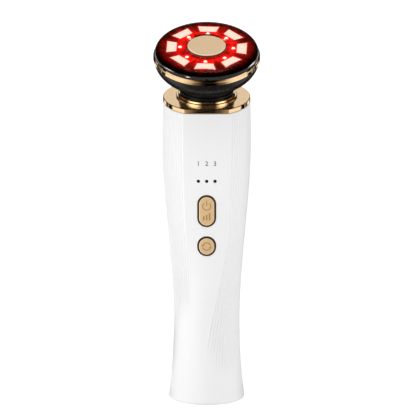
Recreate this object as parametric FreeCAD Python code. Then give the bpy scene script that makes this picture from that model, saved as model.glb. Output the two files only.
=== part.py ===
import FreeCAD, Part
import math
import os

os.makedirs("parts", exist_ok=True)

# All sizes in millimetres, all angles in degrees. Z runs up the handle from the
# resting face of the base, and the buttons face -Y.

# Handle outline
BASE_RADIUS = 17.5
WAIST_RADIUS = 15.13
WAIST_HEIGHT = 37.0
SWELL_RADIUS = 20.37
SWELL_DROP = 18.2
TOP_RADIUS = 20.1
COLLAR_SEAT_HEIGHT = 140.2
COLLAR_TILT = 9.0
SHELL_WALL = 2.0
BUILD_MARGIN = 8.0
CUT_MARGIN = 1.0

# Front panel: flat at the top, round again at the waist, its right edge sweeps across
PANEL_HALF_ANGLE = 31.0
PANEL_TIP_ANGLE = -5.0
PANEL_SWEEP_LOW = 16.0
PANEL_SWEEP_RISE = 6.95
PANEL_ROUND_LOW = 25.0
PANEL_ROUND_RISE = 3.2
PANEL_CROWN = 0.1

# Pleats round the sides and back of the handle
PLEATS_PER_SIDE = 35
PLEAT_DEPTH = 0.22
PLEAT_CREST = 0.62
RIGHT_PLEAT_END = 20.5
RIGHT_PLEAT_STEP = 2.1
LOWEST_PLEAT_END = 8.0
RIGHT_PLEAT_FADE = 12.0
LEFT_PLEAT_END = 36.0
LEFT_PLEAT_FADE = 18.0
SECTION_SPACING = 10.0

# Seam between the two shells
TONGUE_INSET = 0.75
TONGUE_THICKNESS = 0.7
TONGUE_HEIGHT = 1.2
TONGUE_CLEARANCE = 0.06
TONGUE_LOW = 9.0
TONGUE_DROP = 10.2

# Base cap
FOOT_HEIGHT = 1.0
FOOT_INSET = 0.3
FOOT_CHAMFER = 0.3
BASE_FLOOR = 2.6
BASE_SPIGOT_HEIGHT = 5.0
BASE_SPIGOT_WALL = 2.0
SPIGOT_CLEARANCE = 0.1
BASE_SCREW_INSET = 3.1
BASE_SCREW_Y = 3.5

# Screws of every size: shank radius, head radius, head height
BASE_SCREW = (1.0, 2.0, 1.3)
COLLAR_SCREW = (0.8, 1.5, 1.2)
HEAD_SCREW = (0.9, 1.6, 1.2)
BOARD_SCREW = (0.7, 1.5, 0.9)
SCREW_CLEARANCE = 0.06
NECK_SCREW_COUNT = 3
NECK_SCREW_START = 90
BOSS_WALL = 0.9

# Main board, spine of the inner frame and battery
BOARD_FRONT = -6.2
BOARD_THICKNESS = 1.2
BOARD_WIDTH = 17.0
BOARD_BOTTOM = 3.0
BOARD_DROP = 28.2
SPINE_THICKNESS = 1.6
SPINE_WIDTH = 18.0
SPINE_BOTTOM = 10.0
SPINE_DROP = 8.2
FRAME_FLANGE_GAP = 0.3
FRAME_FLANGE_THICKNESS = 2.0
BATTERY_RADIUS = 7.0
BATTERY_LENGTH = 50.0
BATTERY_BOTTOM = 24.0
BATTERY_GAP = 0.1
CRADLE_WALL = 1.4
CRADLE_HEIGHT = 9.0
CRADLE_INSET = 5.0
CRADLE_MOUTH = 3.0
BOARD_SCREW_X = 6.4
BOARD_SCREW_MARGIN = 15.0
CHIP_SIZE = 7.0
CHIP_THICKNESS = 1.0
CHIP_DROP = 23.0
COIL_SIZE = 8.0
COIL_THICKNESS = 3.5
COIL_DROP = 16.0

# Buttons: both share the opening's width; straight is the length between the end arcs
BUTTON_OPENING = 8.7
POWER_STRAIGHT = 6.7
POWER_DROP = 48.4
MODE_STRAIGHT = 0.8
MODE_DROP = 16.75
BUTTON_PROUD = 0.5
BUTTON_EDGE = 0.45
BUTTON_GAP = 0.25
BUTTON_FLANGE = 0.9
BUTTON_FLANGE_THICKNESS = 0.8
BUTTON_STOP_GAP = 0.05
BUTTON_POST_RADIUS = 2.0
BEZEL_WALL = 0.35
BEZEL_RECESS = 0.35
BEZEL_FLANGE = 1.4
BEZEL_FLANGE_THICKNESS = 0.6
BEZEL_SEAT_DEPTH = 1.7
BEZEL_FIT = 0.03

# Switches under the buttons
SWITCH_SIZE = 6.0
SWITCH_THICKNESS = 3.0
SWITCH_STEM_RADIUS = 1.7
SWITCH_STEM_RISE = 1.2
SWITCH_STEM_DEPTH = 0.7
SWITCH_STEM_CLEARANCE = 0.08
SWITCH_WELL_EXTRA = 0.7

# Indicator lights
INDICATOR_RADIUS = 0.75
INDICATOR_SPACING = 3.8
INDICATOR_RISE = 14.2
INDICATOR_FIT = 0.03
INDICATOR_RECESS = 0.05
INDICATOR_LAMP = (1.6, 0.7, 0.8)
INDICATOR_LAMP_GAP = 0.2

# Charging socket in the base
SOCKET_WIDTH = 8.94
SOCKET_THICKNESS = 3.26
SOCKET_WALL = 0.3
SOCKET_LENGTH = 7.3
SOCKET_RECESS = 0.5
SOCKET_CLEARANCE = 0.12
TONGUE_PLATE_WIDTH = 6.7
TONGUE_PLATE_THICKNESS = 0.7
TONGUE_PLATE_SETBACK = 0.9

# Collar and neck, measured up the collar's own slanted axis
COLLAR_RADIUS = 20.0
COLLAR_FLAT = 17.2
COLLAR_THICKNESS = 2.3
COLLAR_CHAMFER = 0.25
COLLAR_SPIGOT_INSET = 2.1
COLLAR_SPIGOT_DEPTH = 3.5
COLLAR_SPIGOT_WALL = 1.5
COLLAR_REGISTER_RADIUS = 10.9
COLLAR_REGISTER_HEIGHT = 0.5
COLLAR_SCREW_CIRCLE = 9.3
NECK_RING_STEPS = ((14.0, 0.95), (13.2, 0.9))
NECK_RING_EDGE = 0.35
REGISTER_CLEARANCE = 0.05
STUB_RADIUS = 5.6
STUB_BORE = 4.0
STUB_LENGTH = 4.0
STUB_CLEARANCE = 0.1
NECK_NUT_FLATS = 12.8
NECK_NUT_THICKNESS = 2.6
DAMPER_HEIGHT = 6.05
DAMPER_RADIUS = 12.0
DAMPER_BORE = 10.2
DAMPER_RIB = 0.75
DAMPER_RIB_THICKNESS = 1.1
DAMPER_RIB_SHARES = (0.25, 0.75)

# Vibration motor, measured down the collar's axis
MOTOR_RADIUS = 6.0
MOTOR_TOP = -12.0
MOTOR_LENGTH = 18.0
SLEEVE_WALL = 1.0
SLEEVE_LENGTH = 11.0
SLEEVE_DROP = 3.0
MOTOR_FIT = 0.05
MOTOR_RING_WALL = 1.75
SHAFT_RADIUS = 1.0
SHAFT_CLEARANCE = 0.05
SHAFT_DEPTH = 2.0
WEIGHT_RADIUS = 5.5
WEIGHT_HUB_RADIUS = 2.2
WEIGHT_THICKNESS = 3.6
WEIGHT_GAP = 0.8
WEIGHT_CLEARANCE = 1.1
FRAME_TOP_RADIUS = 13.0
FRAME_TOP_LOW = -9.0
FRAME_TOP_HIGH = -6.5

# Head, measured up the head's own axis from the underside of its bowl
HEAD_TILT = 19.8
HEAD_RADIUS = 24.45
BOWL_HEIGHT = 11.5
BOWL_SETBACK = 0.35
BOWL_DEPTH = 13.6
BOWL_WALL = 1.8
BOWL_STEPS = 7
TRIM_HEIGHT = 2.6
TRIM_LIP_HEIGHT = 0.7
TRIM_LIP_INSET = 0.35
TRIM_WIDTH = 3.5
TRIM_EDGE = 0.3
LENS_SETBACK = 0.55
LENS_RISE = 4.1
LENS_WALL = 1.2
LENS_EYE_BEVEL = 1.05
LENS_EYE_DEPTH = 0.45
TRAY_GAP = 0.3
TRAY_WALL = 1.2
TRAY_LIP_GAP = 0.05
ELECTRODE_SHARE = 0.3624
ELECTRODE_PROUD = 0.35
ELECTRODE_EDGE = 0.45
ELECTRODE_GAP = 0.19
ELECTRODE_STEM_RADIUS = 2.5
ELECTRODE_STEM_LENGTH = 8.8
ELECTRODE_NUT_FLATS = 8.0
ELECTRODE_NUT_THICKNESS = 3.0
STEM_CLEARANCE = 0.1
LAMP_COUNT = 8
LAMP_SHARE = 0.305
LAMP_RADIUS = 0.95
LAMP_CLEARANCE = 0.12
LAMP_TURN = -2.7
WINDOW_INNER_SHARE = 0.456
WINDOW_OUTER_SHARE = 0.854
WINDOW_HALF_ANGLE = 14.7
WINDOW_CLEARANCE = 0.08
LAMP_BOARD_SETBACK = 1.35
LAMP_BOARD_THICKNESS = 1.2
LAMP_BOARD_DROP = 1.7
HEAD_POST_RADIUS = 1.8

# Leads inside the handle and head
LEAD_RADIUS = 0.6
LEAD_BEND_LENGTH = 1.4
LEAD_X = 6.6
LEAD_JOINT_LENGTH = 4.0
LEAD_RUN_ON = 2.0
LEAD_PASSAGE_Y = -7.6
LEAD_PASSAGE_RADIUS = 1.8
LEAD_TURN_GAP = 1.3
HEAD_LEAD_X = -6.0
HEAD_LEAD_Y = 2.6
HEAD_LEAD_LOW = 2.0
HEAD_LEAD_HIGH = 5.0
BATTERY_LEAD_X = 4.0
BATTERY_LEAD_Y = 3.0
BATTERY_LEAD_RISE = 3.0
BATTERY_LEAD_SIDE = 1.5
BATTERY_LEAD_CLIMB = 1.5

# Heights that follow the collar's seat
SWELL_HEIGHT = COLLAR_SEAT_HEIGHT - SWELL_DROP
TONGUE_HIGH = COLLAR_SEAT_HEIGHT - TONGUE_DROP
SPINE_TOP = COLLAR_SEAT_HEIGHT - SPINE_DROP
BOARD_TOP = COLLAR_SEAT_HEIGHT - BOARD_DROP
BOARD_SCREW_HEIGHTS = (BOARD_BOTTOM + BOARD_SCREW_MARGIN, BOARD_TOP - BOARD_SCREW_MARGIN)
POWER_HEIGHT = COLLAR_SEAT_HEIGHT - POWER_DROP
MODE_HEIGHT = POWER_HEIGHT - MODE_DROP
INDICATOR_HEIGHT = POWER_HEIGHT + INDICATOR_RISE
CHIP_HEIGHT = MODE_HEIGHT - CHIP_DROP
COIL_HEIGHT = CHIP_HEIGHT - COIL_DROP
PANEL_SWEEP_HIGH = MODE_HEIGHT + PANEL_SWEEP_RISE
PANEL_ROUND_HIGH = POWER_HEIGHT + PANEL_ROUND_RISE

Vector = FreeCAD.Vector
UP = Vector(0, 0, 1)
FAR = 400.0


# Shared shapes

def rod(radius, low, high, x=0.0, y=0.0):
    return Part.makeCylinder(radius, high - low, Vector(x, y, low))


def tube(outer, inner, low, high):
    return rod(outer, low, high).cut(rod(inner, low, high))


def block(x_low, x_high, y_low, y_high, z_low, z_high):
    return Part.makeBox(x_high - x_low, y_high - y_low, z_high - z_low, Vector(x_low, y_low, z_low))


def ring_from(points):
    """Turned piece from (radius, height) corners."""
    corners = [Vector(radius, 0, height) for radius, height in points]
    outline = Part.makePolygon(corners + corners[:1])
    return Part.Face(outline).revolve(Vector(), UP, 360)


def ring_from_edges(edges):
    """Turned piece from profile edges in the XZ plane."""
    return Part.Face(Part.Wire(edges)).revolve(Vector(), UP, 360)


def in_profile(radius, height):
    return Vector(radius, 0, height)


def slot(width, straight, low, high):
    """Prism with round ends, long along Y."""
    half = straight / 2
    ends = rod(width / 2, low, high, 0, half).fuse(rod(width / 2, low, high, 0, -half))
    middle = block(-width / 2, width / 2, -half, half, low, high)
    return ends.fuse(middle).removeSplitter()


def hexagon_corner(flats):
    return flats / 2 / math.cos(math.radians(30))


def hexagon(flats, low, high):
    corner = hexagon_corner(flats)
    points = [Vector(corner, 0, low)]
    for turn in range(1, 7):
        angle = math.radians(60 * turn)
        points.append(Vector(corner * math.cos(angle), corner * math.sin(angle), low))
    return Part.Face(Part.makePolygon(points)).extrude(Vector(0, 0, high - low))


def joined(shapes):
    return shapes[0].multiFuse(shapes[1:]).removeSplitter()


def on_circle(radius, count, start):
    """Points spread evenly round a circle, the first at the start angle."""
    places = []
    for index in range(count):
        angle = math.radians(start + 360.0 * index / count)
        places.append((radius * math.cos(angle), radius * math.sin(angle)))
    return places


def tilted(origin, tilt):
    return FreeCAD.Placement(origin, FreeCAD.Rotation(Vector(1, 0, 0), tilt))


def placed(shape, frame):
    moved = shape.copy()
    moved.Placement = frame.multiply(moved.Placement)
    return moved


# Frames of the collar, the head and the buttons

COLLAR_FRAME = tilted(Vector(0, 0, COLLAR_SEAT_HEIGHT), COLLAR_TILT)
NECK_RING_TOP = COLLAR_THICKNESS + sum(height for radius, height in NECK_RING_STEPS)
DAMPER_START = COLLAR_FRAME.multVec(Vector(0, 0, NECK_RING_TOP))
DAMPER_END = COLLAR_FRAME.multVec(Vector(0, 0, NECK_RING_TOP + DAMPER_HEIGHT))
HEAD_FRAME = tilted(DAMPER_END, HEAD_TILT)


# Outline of the handle

def eased(share):
    share = min(1.0, max(0.0, share))
    return share * share * (3 - 2 * share)


def handle_radius(height):
    if height < WAIST_HEIGHT:
        return WAIST_RADIUS + (BASE_RADIUS - WAIST_RADIUS) * (1 - height / WAIST_HEIGHT) ** 2
    if height < SWELL_HEIGHT:
        share = (height - WAIST_HEIGHT) / (SWELL_HEIGHT - WAIST_HEIGHT)
        return WAIST_RADIUS + (SWELL_RADIUS - WAIST_RADIUS) * eased(share)
    share = (height - SWELL_HEIGHT) / (COLLAR_SEAT_HEIGHT - SWELL_HEIGHT)
    return SWELL_RADIUS - (SWELL_RADIUS - TOP_RADIUS) * share ** 2


def panel_right_angle(height):
    share = (height - PANEL_SWEEP_LOW) / (PANEL_SWEEP_HIGH - PANEL_SWEEP_LOW)
    return PANEL_TIP_ANGLE + (PANEL_HALF_ANGLE - PANEL_TIP_ANGLE) * eased(share)


def panel_middle(height):
    """Angle and radius of the panel's middle."""
    right = panel_right_angle(height)
    half = math.radians((right + PANEL_HALF_ANGLE) / 2)
    share = (height - PANEL_ROUND_LOW) / (PANEL_ROUND_HIGH - PANEL_ROUND_LOW)
    crown = 1 - (1 - PANEL_CROWN) * eased(share)
    radius = handle_radius(height) * (math.cos(half) + (1 - math.cos(half)) * crown)
    return (right - PANEL_HALF_ANGLE) / 2, radius


def panel_front(height):
    """Distance from the handle's axis to the panel, straight in front of the axis."""
    angle, radius = panel_middle(height)
    return radius * math.cos(math.radians(angle))


def panel_slope(height):
    return math.degrees(math.atan(panel_front(height + 0.5) - panel_front(height - 0.5)))


def at_angle(angle, radius, height):
    """Point round the handle, with angle 0 at the front and positive towards +X."""
    turn = math.radians(angle)
    return Vector(radius * math.sin(turn), -radius * math.cos(turn), height)


def pleat_depth(height, end, fade):
    return PLEAT_DEPTH * eased((height - end) / fade)


def pleat_valleys(height):
    """Angle and radius of every valley, from the panel's right edge round to its left edge."""
    radius = handle_radius(height)
    right = panel_right_angle(height)
    valleys = []
    for index in range(PLEATS_PER_SIDE + 1):
        angle = right + (180 - right) * index / PLEATS_PER_SIDE
        end = max(LOWEST_PLEAT_END, RIGHT_PLEAT_END - RIGHT_PLEAT_STEP * index)
        valleys.append((angle, radius - pleat_depth(height, end, RIGHT_PLEAT_FADE)))
    for index in range(PLEATS_PER_SIDE - 1, -1, -1):
        share = index / PLEATS_PER_SIDE
        angle = 360 - (PANEL_HALF_ANGLE + (180 - PANEL_HALF_ANGLE) * share)
        end = LEFT_PLEAT_END + (LOWEST_PLEAT_END - LEFT_PLEAT_END) * share
        valleys.append((angle, radius - pleat_depth(height, end, LEFT_PLEAT_FADE)))
    return valleys


def section_strips(height):
    """One handle section: the panel as a curve's three poles, then two points per pleat side."""
    valleys = pleat_valleys(height)
    left = at_angle(valleys[-1][0], valleys[-1][1], height)
    right = at_angle(valleys[0][0], valleys[0][1], height)
    angle, radius = panel_middle(height)
    pole = at_angle(angle, radius, height) * 2 - (left + right) * 0.5
    strips = [(left, pole, right)]
    for (first, first_radius), (last, last_radius) in zip(valleys, valleys[1:]):
        start = at_angle(first, first_radius, height)
        crest = at_angle(first + (last - first) * PLEAT_CREST, handle_radius(height), height)
        end = at_angle(last, last_radius, height)
        strips.append((start, crest))
        strips.append((crest, end))
    return strips


def strip_face(rows, shares):
    """Smooth face up the handle; each row holds one pole of the section at every height."""
    curves = []
    for row in rows:
        curve = Part.BSplineCurve()
        curve.interpolate(Points=row, Parameters=shares)
        curves.append(curve)
    order = len(rows)
    first = curves[0]
    surface = Part.BSplineSurface()
    surface.buildFromPolesMultsKnots(
        [curve.getPoles() for curve in curves],
        [order, order],
        first.getMultiplicities(),
        [0.0, 1.0],
        first.getKnots(),
        False,
        False,
        order - 1,
        first.Degree,
    )
    return surface.toShape()


def end_face(faces, height):
    """Flat end of the handle, from the edges that lie at this height."""
    edges = []
    for face in faces:
        for edge in face.Edges:
            if abs(edge.BoundBox.ZMin - height) < 0.001 and abs(edge.BoundBox.ZMax - height) < 0.001:
                edges.append(edge)
    return Part.Face(Part.Wire(Part.__sortEdges__(edges)))


def handle_body():
    top = COLLAR_SEAT_HEIGHT + BUILD_MARGIN
    count = round((top - FOOT_HEIGHT) / SECTION_SPACING)
    shares = [index / count for index in range(count + 1)]
    sections = [section_strips(FOOT_HEIGHT + (top - FOOT_HEIGHT) * share) for share in shares]
    faces = []
    for strips in zip(*sections):
        rows = [list(row) for row in zip(*strips)]
        faces.append(strip_face(rows, shares))
    faces.append(end_face(faces, FOOT_HEIGHT))
    faces.append(end_face(faces, top))
    shell = Part.Shell(faces)
    shell.sewShape()
    body = Part.Solid(shell)
    if body.Volume < 0:
        body.reverse()
    return body


def turned_inside(inset, low, high):
    """Solid of revolution that follows the handle's outline, inset from it."""
    count = round((high - low) / SECTION_SPACING)
    points = []
    for index in range(count + 1):
        height = low + (high - low) * index / count
        points.append(in_profile(handle_radius(height) - inset, height))
    curve = Part.BSplineCurve()
    curve.interpolate(points)
    edges = [
        curve.toShape(),
        Part.makeLine(points[-1], in_profile(0, high)),
        Part.makeLine(in_profile(0, high), in_profile(0, low)),
        Part.makeLine(in_profile(0, low), points[0]),
    ]
    return ring_from_edges(edges)


def behind_panel(inset, low, high):
    """Everything behind the front panel, inset from it."""
    count = max(1, round((high - low) / SECTION_SPACING))
    points = []
    for index in range(count + 1):
        height = low + (high - low) * index / count
        points.append(Vector(-FAR / 2, inset - panel_front(height), height))
    curve = Part.BSplineCurve()
    curve.interpolate(points)
    back_low = Vector(-FAR / 2, FAR, low)
    back_high = Vector(-FAR / 2, FAR, high)
    edges = [
        curve.toShape(),
        Part.makeLine(points[-1], back_high),
        Part.makeLine(back_high, back_low),
        Part.makeLine(back_low, points[0]),
    ]
    return Part.Face(Part.Wire(edges)).extrude(Vector(FAR, 0, 0))


def handle_cavity():
    """Space inside the shells: round, with a flat behind the front panel."""
    top = COLLAR_SEAT_HEIGHT + BUILD_MARGIN
    return turned_inside(SHELL_WALL, FOOT_HEIGHT, top).common(behind_panel(SHELL_WALL, FOOT_HEIGHT, top))


def d_plate(radius, flat, low, high):
    """Round plate with a flat at the front."""
    return rod(radius, low, high).cut(block(-FAR, FAR, -FAR, -flat, low - CUT_MARGIN, high + CUT_MARGIN))


COLLAR_SPIGOT_RADIUS = COLLAR_RADIUS - COLLAR_SPIGOT_INSET
COLLAR_SPIGOT_FLAT = COLLAR_FLAT - COLLAR_SPIGOT_INSET
BASE_SPIGOT_TOP = FOOT_HEIGHT + BASE_SPIGOT_HEIGHT
BASE_SPIGOT_RADIUS = handle_radius(BASE_SPIGOT_TOP) - SHELL_WALL - SPIGOT_CLEARANCE
BASE_SPIGOT_BORE = BASE_SPIGOT_RADIUS - BASE_SPIGOT_WALL
BASE_SCREW_X = BASE_SPIGOT_BORE - BASE_SCREW_INSET
FRAME_FLANGE_RADIUS = BASE_SPIGOT_BORE - FRAME_FLANGE_GAP


def seam_tongue(slack):
    """Tongue inside the side walls; the slack makes the groove that takes it."""
    outer = turned_inside(TONGUE_INSET - slack, TONGUE_LOW - slack, TONGUE_HIGH + slack)
    inner = turned_inside(TONGUE_INSET + TONGUE_THICKNESS + slack, TONGUE_LOW - slack, TONGUE_HIGH + slack)
    band = block(-FAR, FAR, -TONGUE_HEIGHT - slack, 0, 0, FAR)
    return outer.cut(inner).common(band)


def make_shells():
    walls = handle_body().cut(handle_cavity())
    above = placed(block(-FAR, FAR, -FAR, FAR, 0, FAR), COLLAR_FRAME)
    socket = d_plate(
        COLLAR_SPIGOT_RADIUS + SPIGOT_CLEARANCE,
        COLLAR_SPIGOT_FLAT + SPIGOT_CLEARANCE,
        -COLLAR_SPIGOT_DEPTH - SPIGOT_CLEARANCE,
        CUT_MARGIN,
    )
    walls = walls.cut([above, placed(socket, COLLAR_FRAME)])
    front = walls.common(block(-FAR, FAR, -FAR, 0, -CUT_MARGIN, FAR))
    rear = walls.common(block(-FAR, FAR, 0, FAR, -CUT_MARGIN, FAR))
    openings = [seam_tongue(TONGUE_CLEARANCE)]
    for button in (POWER, MODE):
        openings.append(button.opening())
    for x in indicator_places():
        openings.append(indicator_rod(INDICATOR_RADIUS + INDICATOR_FIT, x, FAR / 4))
    return front.cut(openings), rear.fuse(seam_tongue(0)).removeSplitter()


# Base cap with its spigot, screw holes and charging socket

BASE_SCREW_PLACES = ((-BASE_SCREW_X, BASE_SCREW_Y), (BASE_SCREW_X, BASE_SCREW_Y))
BOARD_BACK = BOARD_FRONT + BOARD_THICKNESS
SPINE_BACK = BOARD_BACK + SPINE_THICKNESS
SOCKET_Y = BOARD_BACK + SOCKET_THICKNESS / 2
SOCKET_TURN = FreeCAD.Placement(Vector(0, SOCKET_Y, 0), FreeCAD.Rotation(UP, 90))


def socket_slot(grow, low, high):
    """Slot across the handle with the socket's outline, grown all round."""
    width = SOCKET_THICKNESS + 2 * grow
    return placed(slot(width, SOCKET_WIDTH - SOCKET_THICKNESS, low, high), SOCKET_TURN)


def make_base_cap():
    foot = ring_from([
        (0, 0),
        (BASE_RADIUS - FOOT_INSET - FOOT_CHAMFER, 0),
        (BASE_RADIUS - FOOT_INSET, FOOT_CHAMFER),
        (BASE_RADIUS - FOOT_INSET, FOOT_HEIGHT),
        (0, FOOT_HEIGHT),
    ])
    spigot = ring_from([
        (0, FOOT_HEIGHT),
        (BASE_SPIGOT_RADIUS, FOOT_HEIGHT),
        (BASE_SPIGOT_RADIUS, BASE_SPIGOT_TOP),
        (BASE_SPIGOT_BORE, BASE_SPIGOT_TOP),
        (BASE_SPIGOT_BORE, BASE_FLOOR),
        (0, BASE_FLOOR),
    ])
    spigot = spigot.common(behind_panel(SHELL_WALL + SPIGOT_CLEARANCE, FOOT_HEIGHT, BASE_SPIGOT_TOP))
    shank, head, head_height = BASE_SCREW
    cuts = [socket_slot(SOCKET_CLEARANCE, -CUT_MARGIN, BASE_FLOOR + CUT_MARGIN)]
    for x, y in BASE_SCREW_PLACES:
        cuts.append(rod(shank + SCREW_CLEARANCE, -CUT_MARGIN, BASE_FLOOR + CUT_MARGIN, x, y))
        cuts.append(rod(head + 3 * SCREW_CLEARANCE, -CUT_MARGIN, head_height + FOOT_CHAMFER, x, y))
    return joined([foot, spigot]).cut(cuts)


def make_base_screws():
    shank, head, head_height = BASE_SCREW
    screws = []
    for x, y in BASE_SCREW_PLACES:
        seat = head_height + FOOT_CHAMFER
        shape = rod(head, FOOT_CHAMFER, seat, x, y)
        shape = shape.fuse(rod(shank, seat, SPINE_BOTTOM, x, y)).removeSplitter()
        screws.append(shape)
    return Part.makeCompound(screws)


SOCKET_TOP = SOCKET_RECESS + SOCKET_LENGTH


def make_socket_shell():
    outer = socket_slot(0, SOCKET_RECESS, SOCKET_TOP)
    return outer.cut(socket_slot(-SOCKET_WALL, SOCKET_RECESS - CUT_MARGIN, SOCKET_TOP - SOCKET_WALL))


def make_socket_tongue():
    half = TONGUE_PLATE_THICKNESS / 2
    low = SOCKET_RECESS + TONGUE_PLATE_SETBACK
    width = TONGUE_PLATE_WIDTH / 2
    return block(-width, width, SOCKET_Y - half, SOCKET_Y + half, low, SOCKET_TOP - SOCKET_WALL)


# Main board and what it carries

def board_screw_places():
    return [(x, z) for z in BOARD_SCREW_HEIGHTS for x in (-BOARD_SCREW_X, BOARD_SCREW_X)]


def across(radius, y_low, y_high, x, z):
    """Round rod along Y."""
    return Part.makeCylinder(radius, y_high - y_low, Vector(x, y_low, z), Vector(0, 1, 0))


def board_piece(width, thickness, height, middle):
    """Flat part on the board's front face."""
    half = width / 2
    return block(-half, half, BOARD_FRONT - thickness, BOARD_FRONT, middle - height / 2, middle + height / 2)


def make_main_board():
    half = BOARD_WIDTH / 2
    board = block(-half, half, BOARD_FRONT, BOARD_BACK, BOARD_BOTTOM, BOARD_TOP)
    hole = BOARD_SCREW[0] + SCREW_CLEARANCE
    return board.cut([across(hole, -FAR, FAR, x, z) for x, z in board_screw_places()])


def make_board_screws():
    shank, head, head_height = BOARD_SCREW
    screws = []
    for x, z in board_screw_places():
        shape = across(head, BOARD_FRONT - head_height, BOARD_FRONT, x, z)
        screws.append(shape.fuse(across(shank, BOARD_FRONT, SPINE_BACK, x, z)).removeSplitter())
    return Part.makeCompound(screws)


def indicator_places():
    return (-INDICATOR_SPACING, 0.0, INDICATOR_SPACING)


INDICATOR_LAMP_TOP = BOARD_FRONT - INDICATOR_LAMP[1]
INDICATOR_BACK = INDICATOR_LAMP_TOP - INDICATOR_LAMP_GAP


def indicator_rod(radius, x, reach):
    """Rod from the board's lamps towards the panel, as long as the reach."""
    return across(radius, INDICATOR_BACK - reach, INDICATOR_BACK, x, INDICATOR_HEIGHT)


def make_indicator_lights():
    reach = panel_front(INDICATOR_HEIGHT) - INDICATOR_RECESS + INDICATOR_BACK
    return Part.makeCompound([indicator_rod(INDICATOR_RADIUS, x, reach) for x in indicator_places()])


def make_indicator_lamps():
    width, thickness, height = INDICATOR_LAMP
    lamps = []
    for x in indicator_places():
        lamp = board_piece(width, thickness, height, INDICATOR_HEIGHT)
        lamp.translate(Vector(x, 0, 0))
        lamps.append(lamp)
    return Part.makeCompound(lamps)


# Buttons, bezels and switches

SWITCH_FACE = BOARD_FRONT - SWITCH_THICKNESS
STEM_FACE = SWITCH_FACE - SWITCH_STEM_RISE


class Button:
    """A button in its own frame: Z out of the panel, Y up along it."""

    def __init__(self, straight, height):
        self.straight = straight
        self.height = height
        slope = panel_slope(height)
        self.frame = tilted(Vector(0, -panel_front(height), height), 90 + slope)
        self.cap_width = BUTTON_OPENING - 2 * (BEZEL_FIT + BEZEL_WALL + BUTTON_GAP)
        self.bezel_back = -BEZEL_SEAT_DEPTH - BEZEL_FLANGE_THICKNESS
        self.flange_front = self.bezel_back - BUTTON_STOP_GAP
        self.flange_back = self.flange_front - BUTTON_FLANGE_THICKNESS

    def slot(self, width, low, high):
        return slot(width, self.straight, low, high)

    def opening(self):
        hole = self.slot(BUTTON_OPENING, -SHELL_WALL * 3, SHELL_WALL)
        seat_width = BUTTON_OPENING + 2 * (BEZEL_FLANGE + BEZEL_FIT)
        seat = self.slot(seat_width, -SHELL_WALL * 3, -BEZEL_SEAT_DEPTH)
        return placed(hole.fuse(seat), self.frame)

    def bezel(self):
        outer = BUTTON_OPENING - 2 * BEZEL_FIT
        ring = self.slot(outer, -BEZEL_SEAT_DEPTH, -BEZEL_RECESS)
        flange = self.slot(BUTTON_OPENING + 2 * BEZEL_FLANGE, self.bezel_back, -BEZEL_SEAT_DEPTH)
        hole = self.slot(outer - 2 * BEZEL_WALL, self.bezel_back - CUT_MARGIN, CUT_MARGIN)
        return placed(ring.fuse(flange).cut(hole).removeSplitter(), self.frame)

    def cap(self):
        body = self.slot(self.cap_width, self.flange_front, BUTTON_PROUD)
        rim = [edge for edge in body.Edges if edge.BoundBox.ZMin > BUTTON_PROUD - 0.001]
        body = body.makeChamfer(BUTTON_EDGE, rim)
        flange_width = self.cap_width + 2 * (BUTTON_GAP + BUTTON_FLANGE)
        flange = self.slot(flange_width, self.flange_back, self.flange_front)
        button = placed(body.fuse(flange).removeSplitter(), self.frame)
        back = self.frame.multVec(Vector(0, 0, self.flange_front)).y
        post = across(BUTTON_POST_RADIUS, back, STEM_FACE, 0, self.height)
        return button.fuse(post).removeSplitter()

    def switch(self):
        body = board_piece(SWITCH_SIZE, SWITCH_THICKNESS, SWITCH_SIZE, self.height)
        radius = SWITCH_STEM_RADIUS + SWITCH_STEM_CLEARANCE
        depth = SWITCH_STEM_DEPTH + SWITCH_WELL_EXTRA
        return body.cut(across(radius, SWITCH_FACE - CUT_MARGIN, SWITCH_FACE + depth, 0, self.height))

    def stem(self):
        return across(SWITCH_STEM_RADIUS, STEM_FACE, SWITCH_FACE + SWITCH_STEM_DEPTH, 0, self.height)


POWER = Button(POWER_STRAIGHT, POWER_HEIGHT)
MODE = Button(MODE_STRAIGHT, MODE_HEIGHT)


# Battery and inner frame

BATTERY_Y = SPINE_BACK + BATTERY_GAP + BATTERY_RADIUS
BATTERY_TOP = BATTERY_BOTTOM + BATTERY_LENGTH


def make_battery():
    return rod(BATTERY_RADIUS, BATTERY_BOTTOM, BATTERY_TOP, 0, BATTERY_Y)


def battery_cradle(low):
    """Open ring that clips round the cell from the front."""
    high = low + CRADLE_HEIGHT
    inner = BATTERY_RADIUS + BATTERY_GAP
    outer = inner + CRADLE_WALL
    ring = rod(outer, low, high, 0, BATTERY_Y)
    return ring.cut(block(-FAR, FAR, BATTERY_Y + CRADLE_MOUTH, FAR, low - CUT_MARGIN, high + CUT_MARGIN))


MOTOR_BOTTOM = MOTOR_TOP - MOTOR_LENGTH
SLEEVE_TOP = MOTOR_TOP - SLEEVE_DROP
SLEEVE_BOTTOM = SLEEVE_TOP - SLEEVE_LENGTH
SLEEVE_RADIUS = MOTOR_RADIUS + MOTOR_FIT + SLEEVE_WALL
MOTOR_RING_BORE = SLEEVE_RADIUS + MOTOR_FIT
COLLAR_SCREW_PLACES = on_circle(COLLAR_SCREW_CIRCLE, NECK_SCREW_COUNT, NECK_SCREW_START)
FRAME_BOSS_RADIUS = COLLAR_SCREW[0] + SCREW_CLEARANCE + BOSS_WALL
BASE_BOSS_RADIUS = BASE_SCREW[0] + SCREW_CLEARANCE + BOSS_WALL


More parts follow.
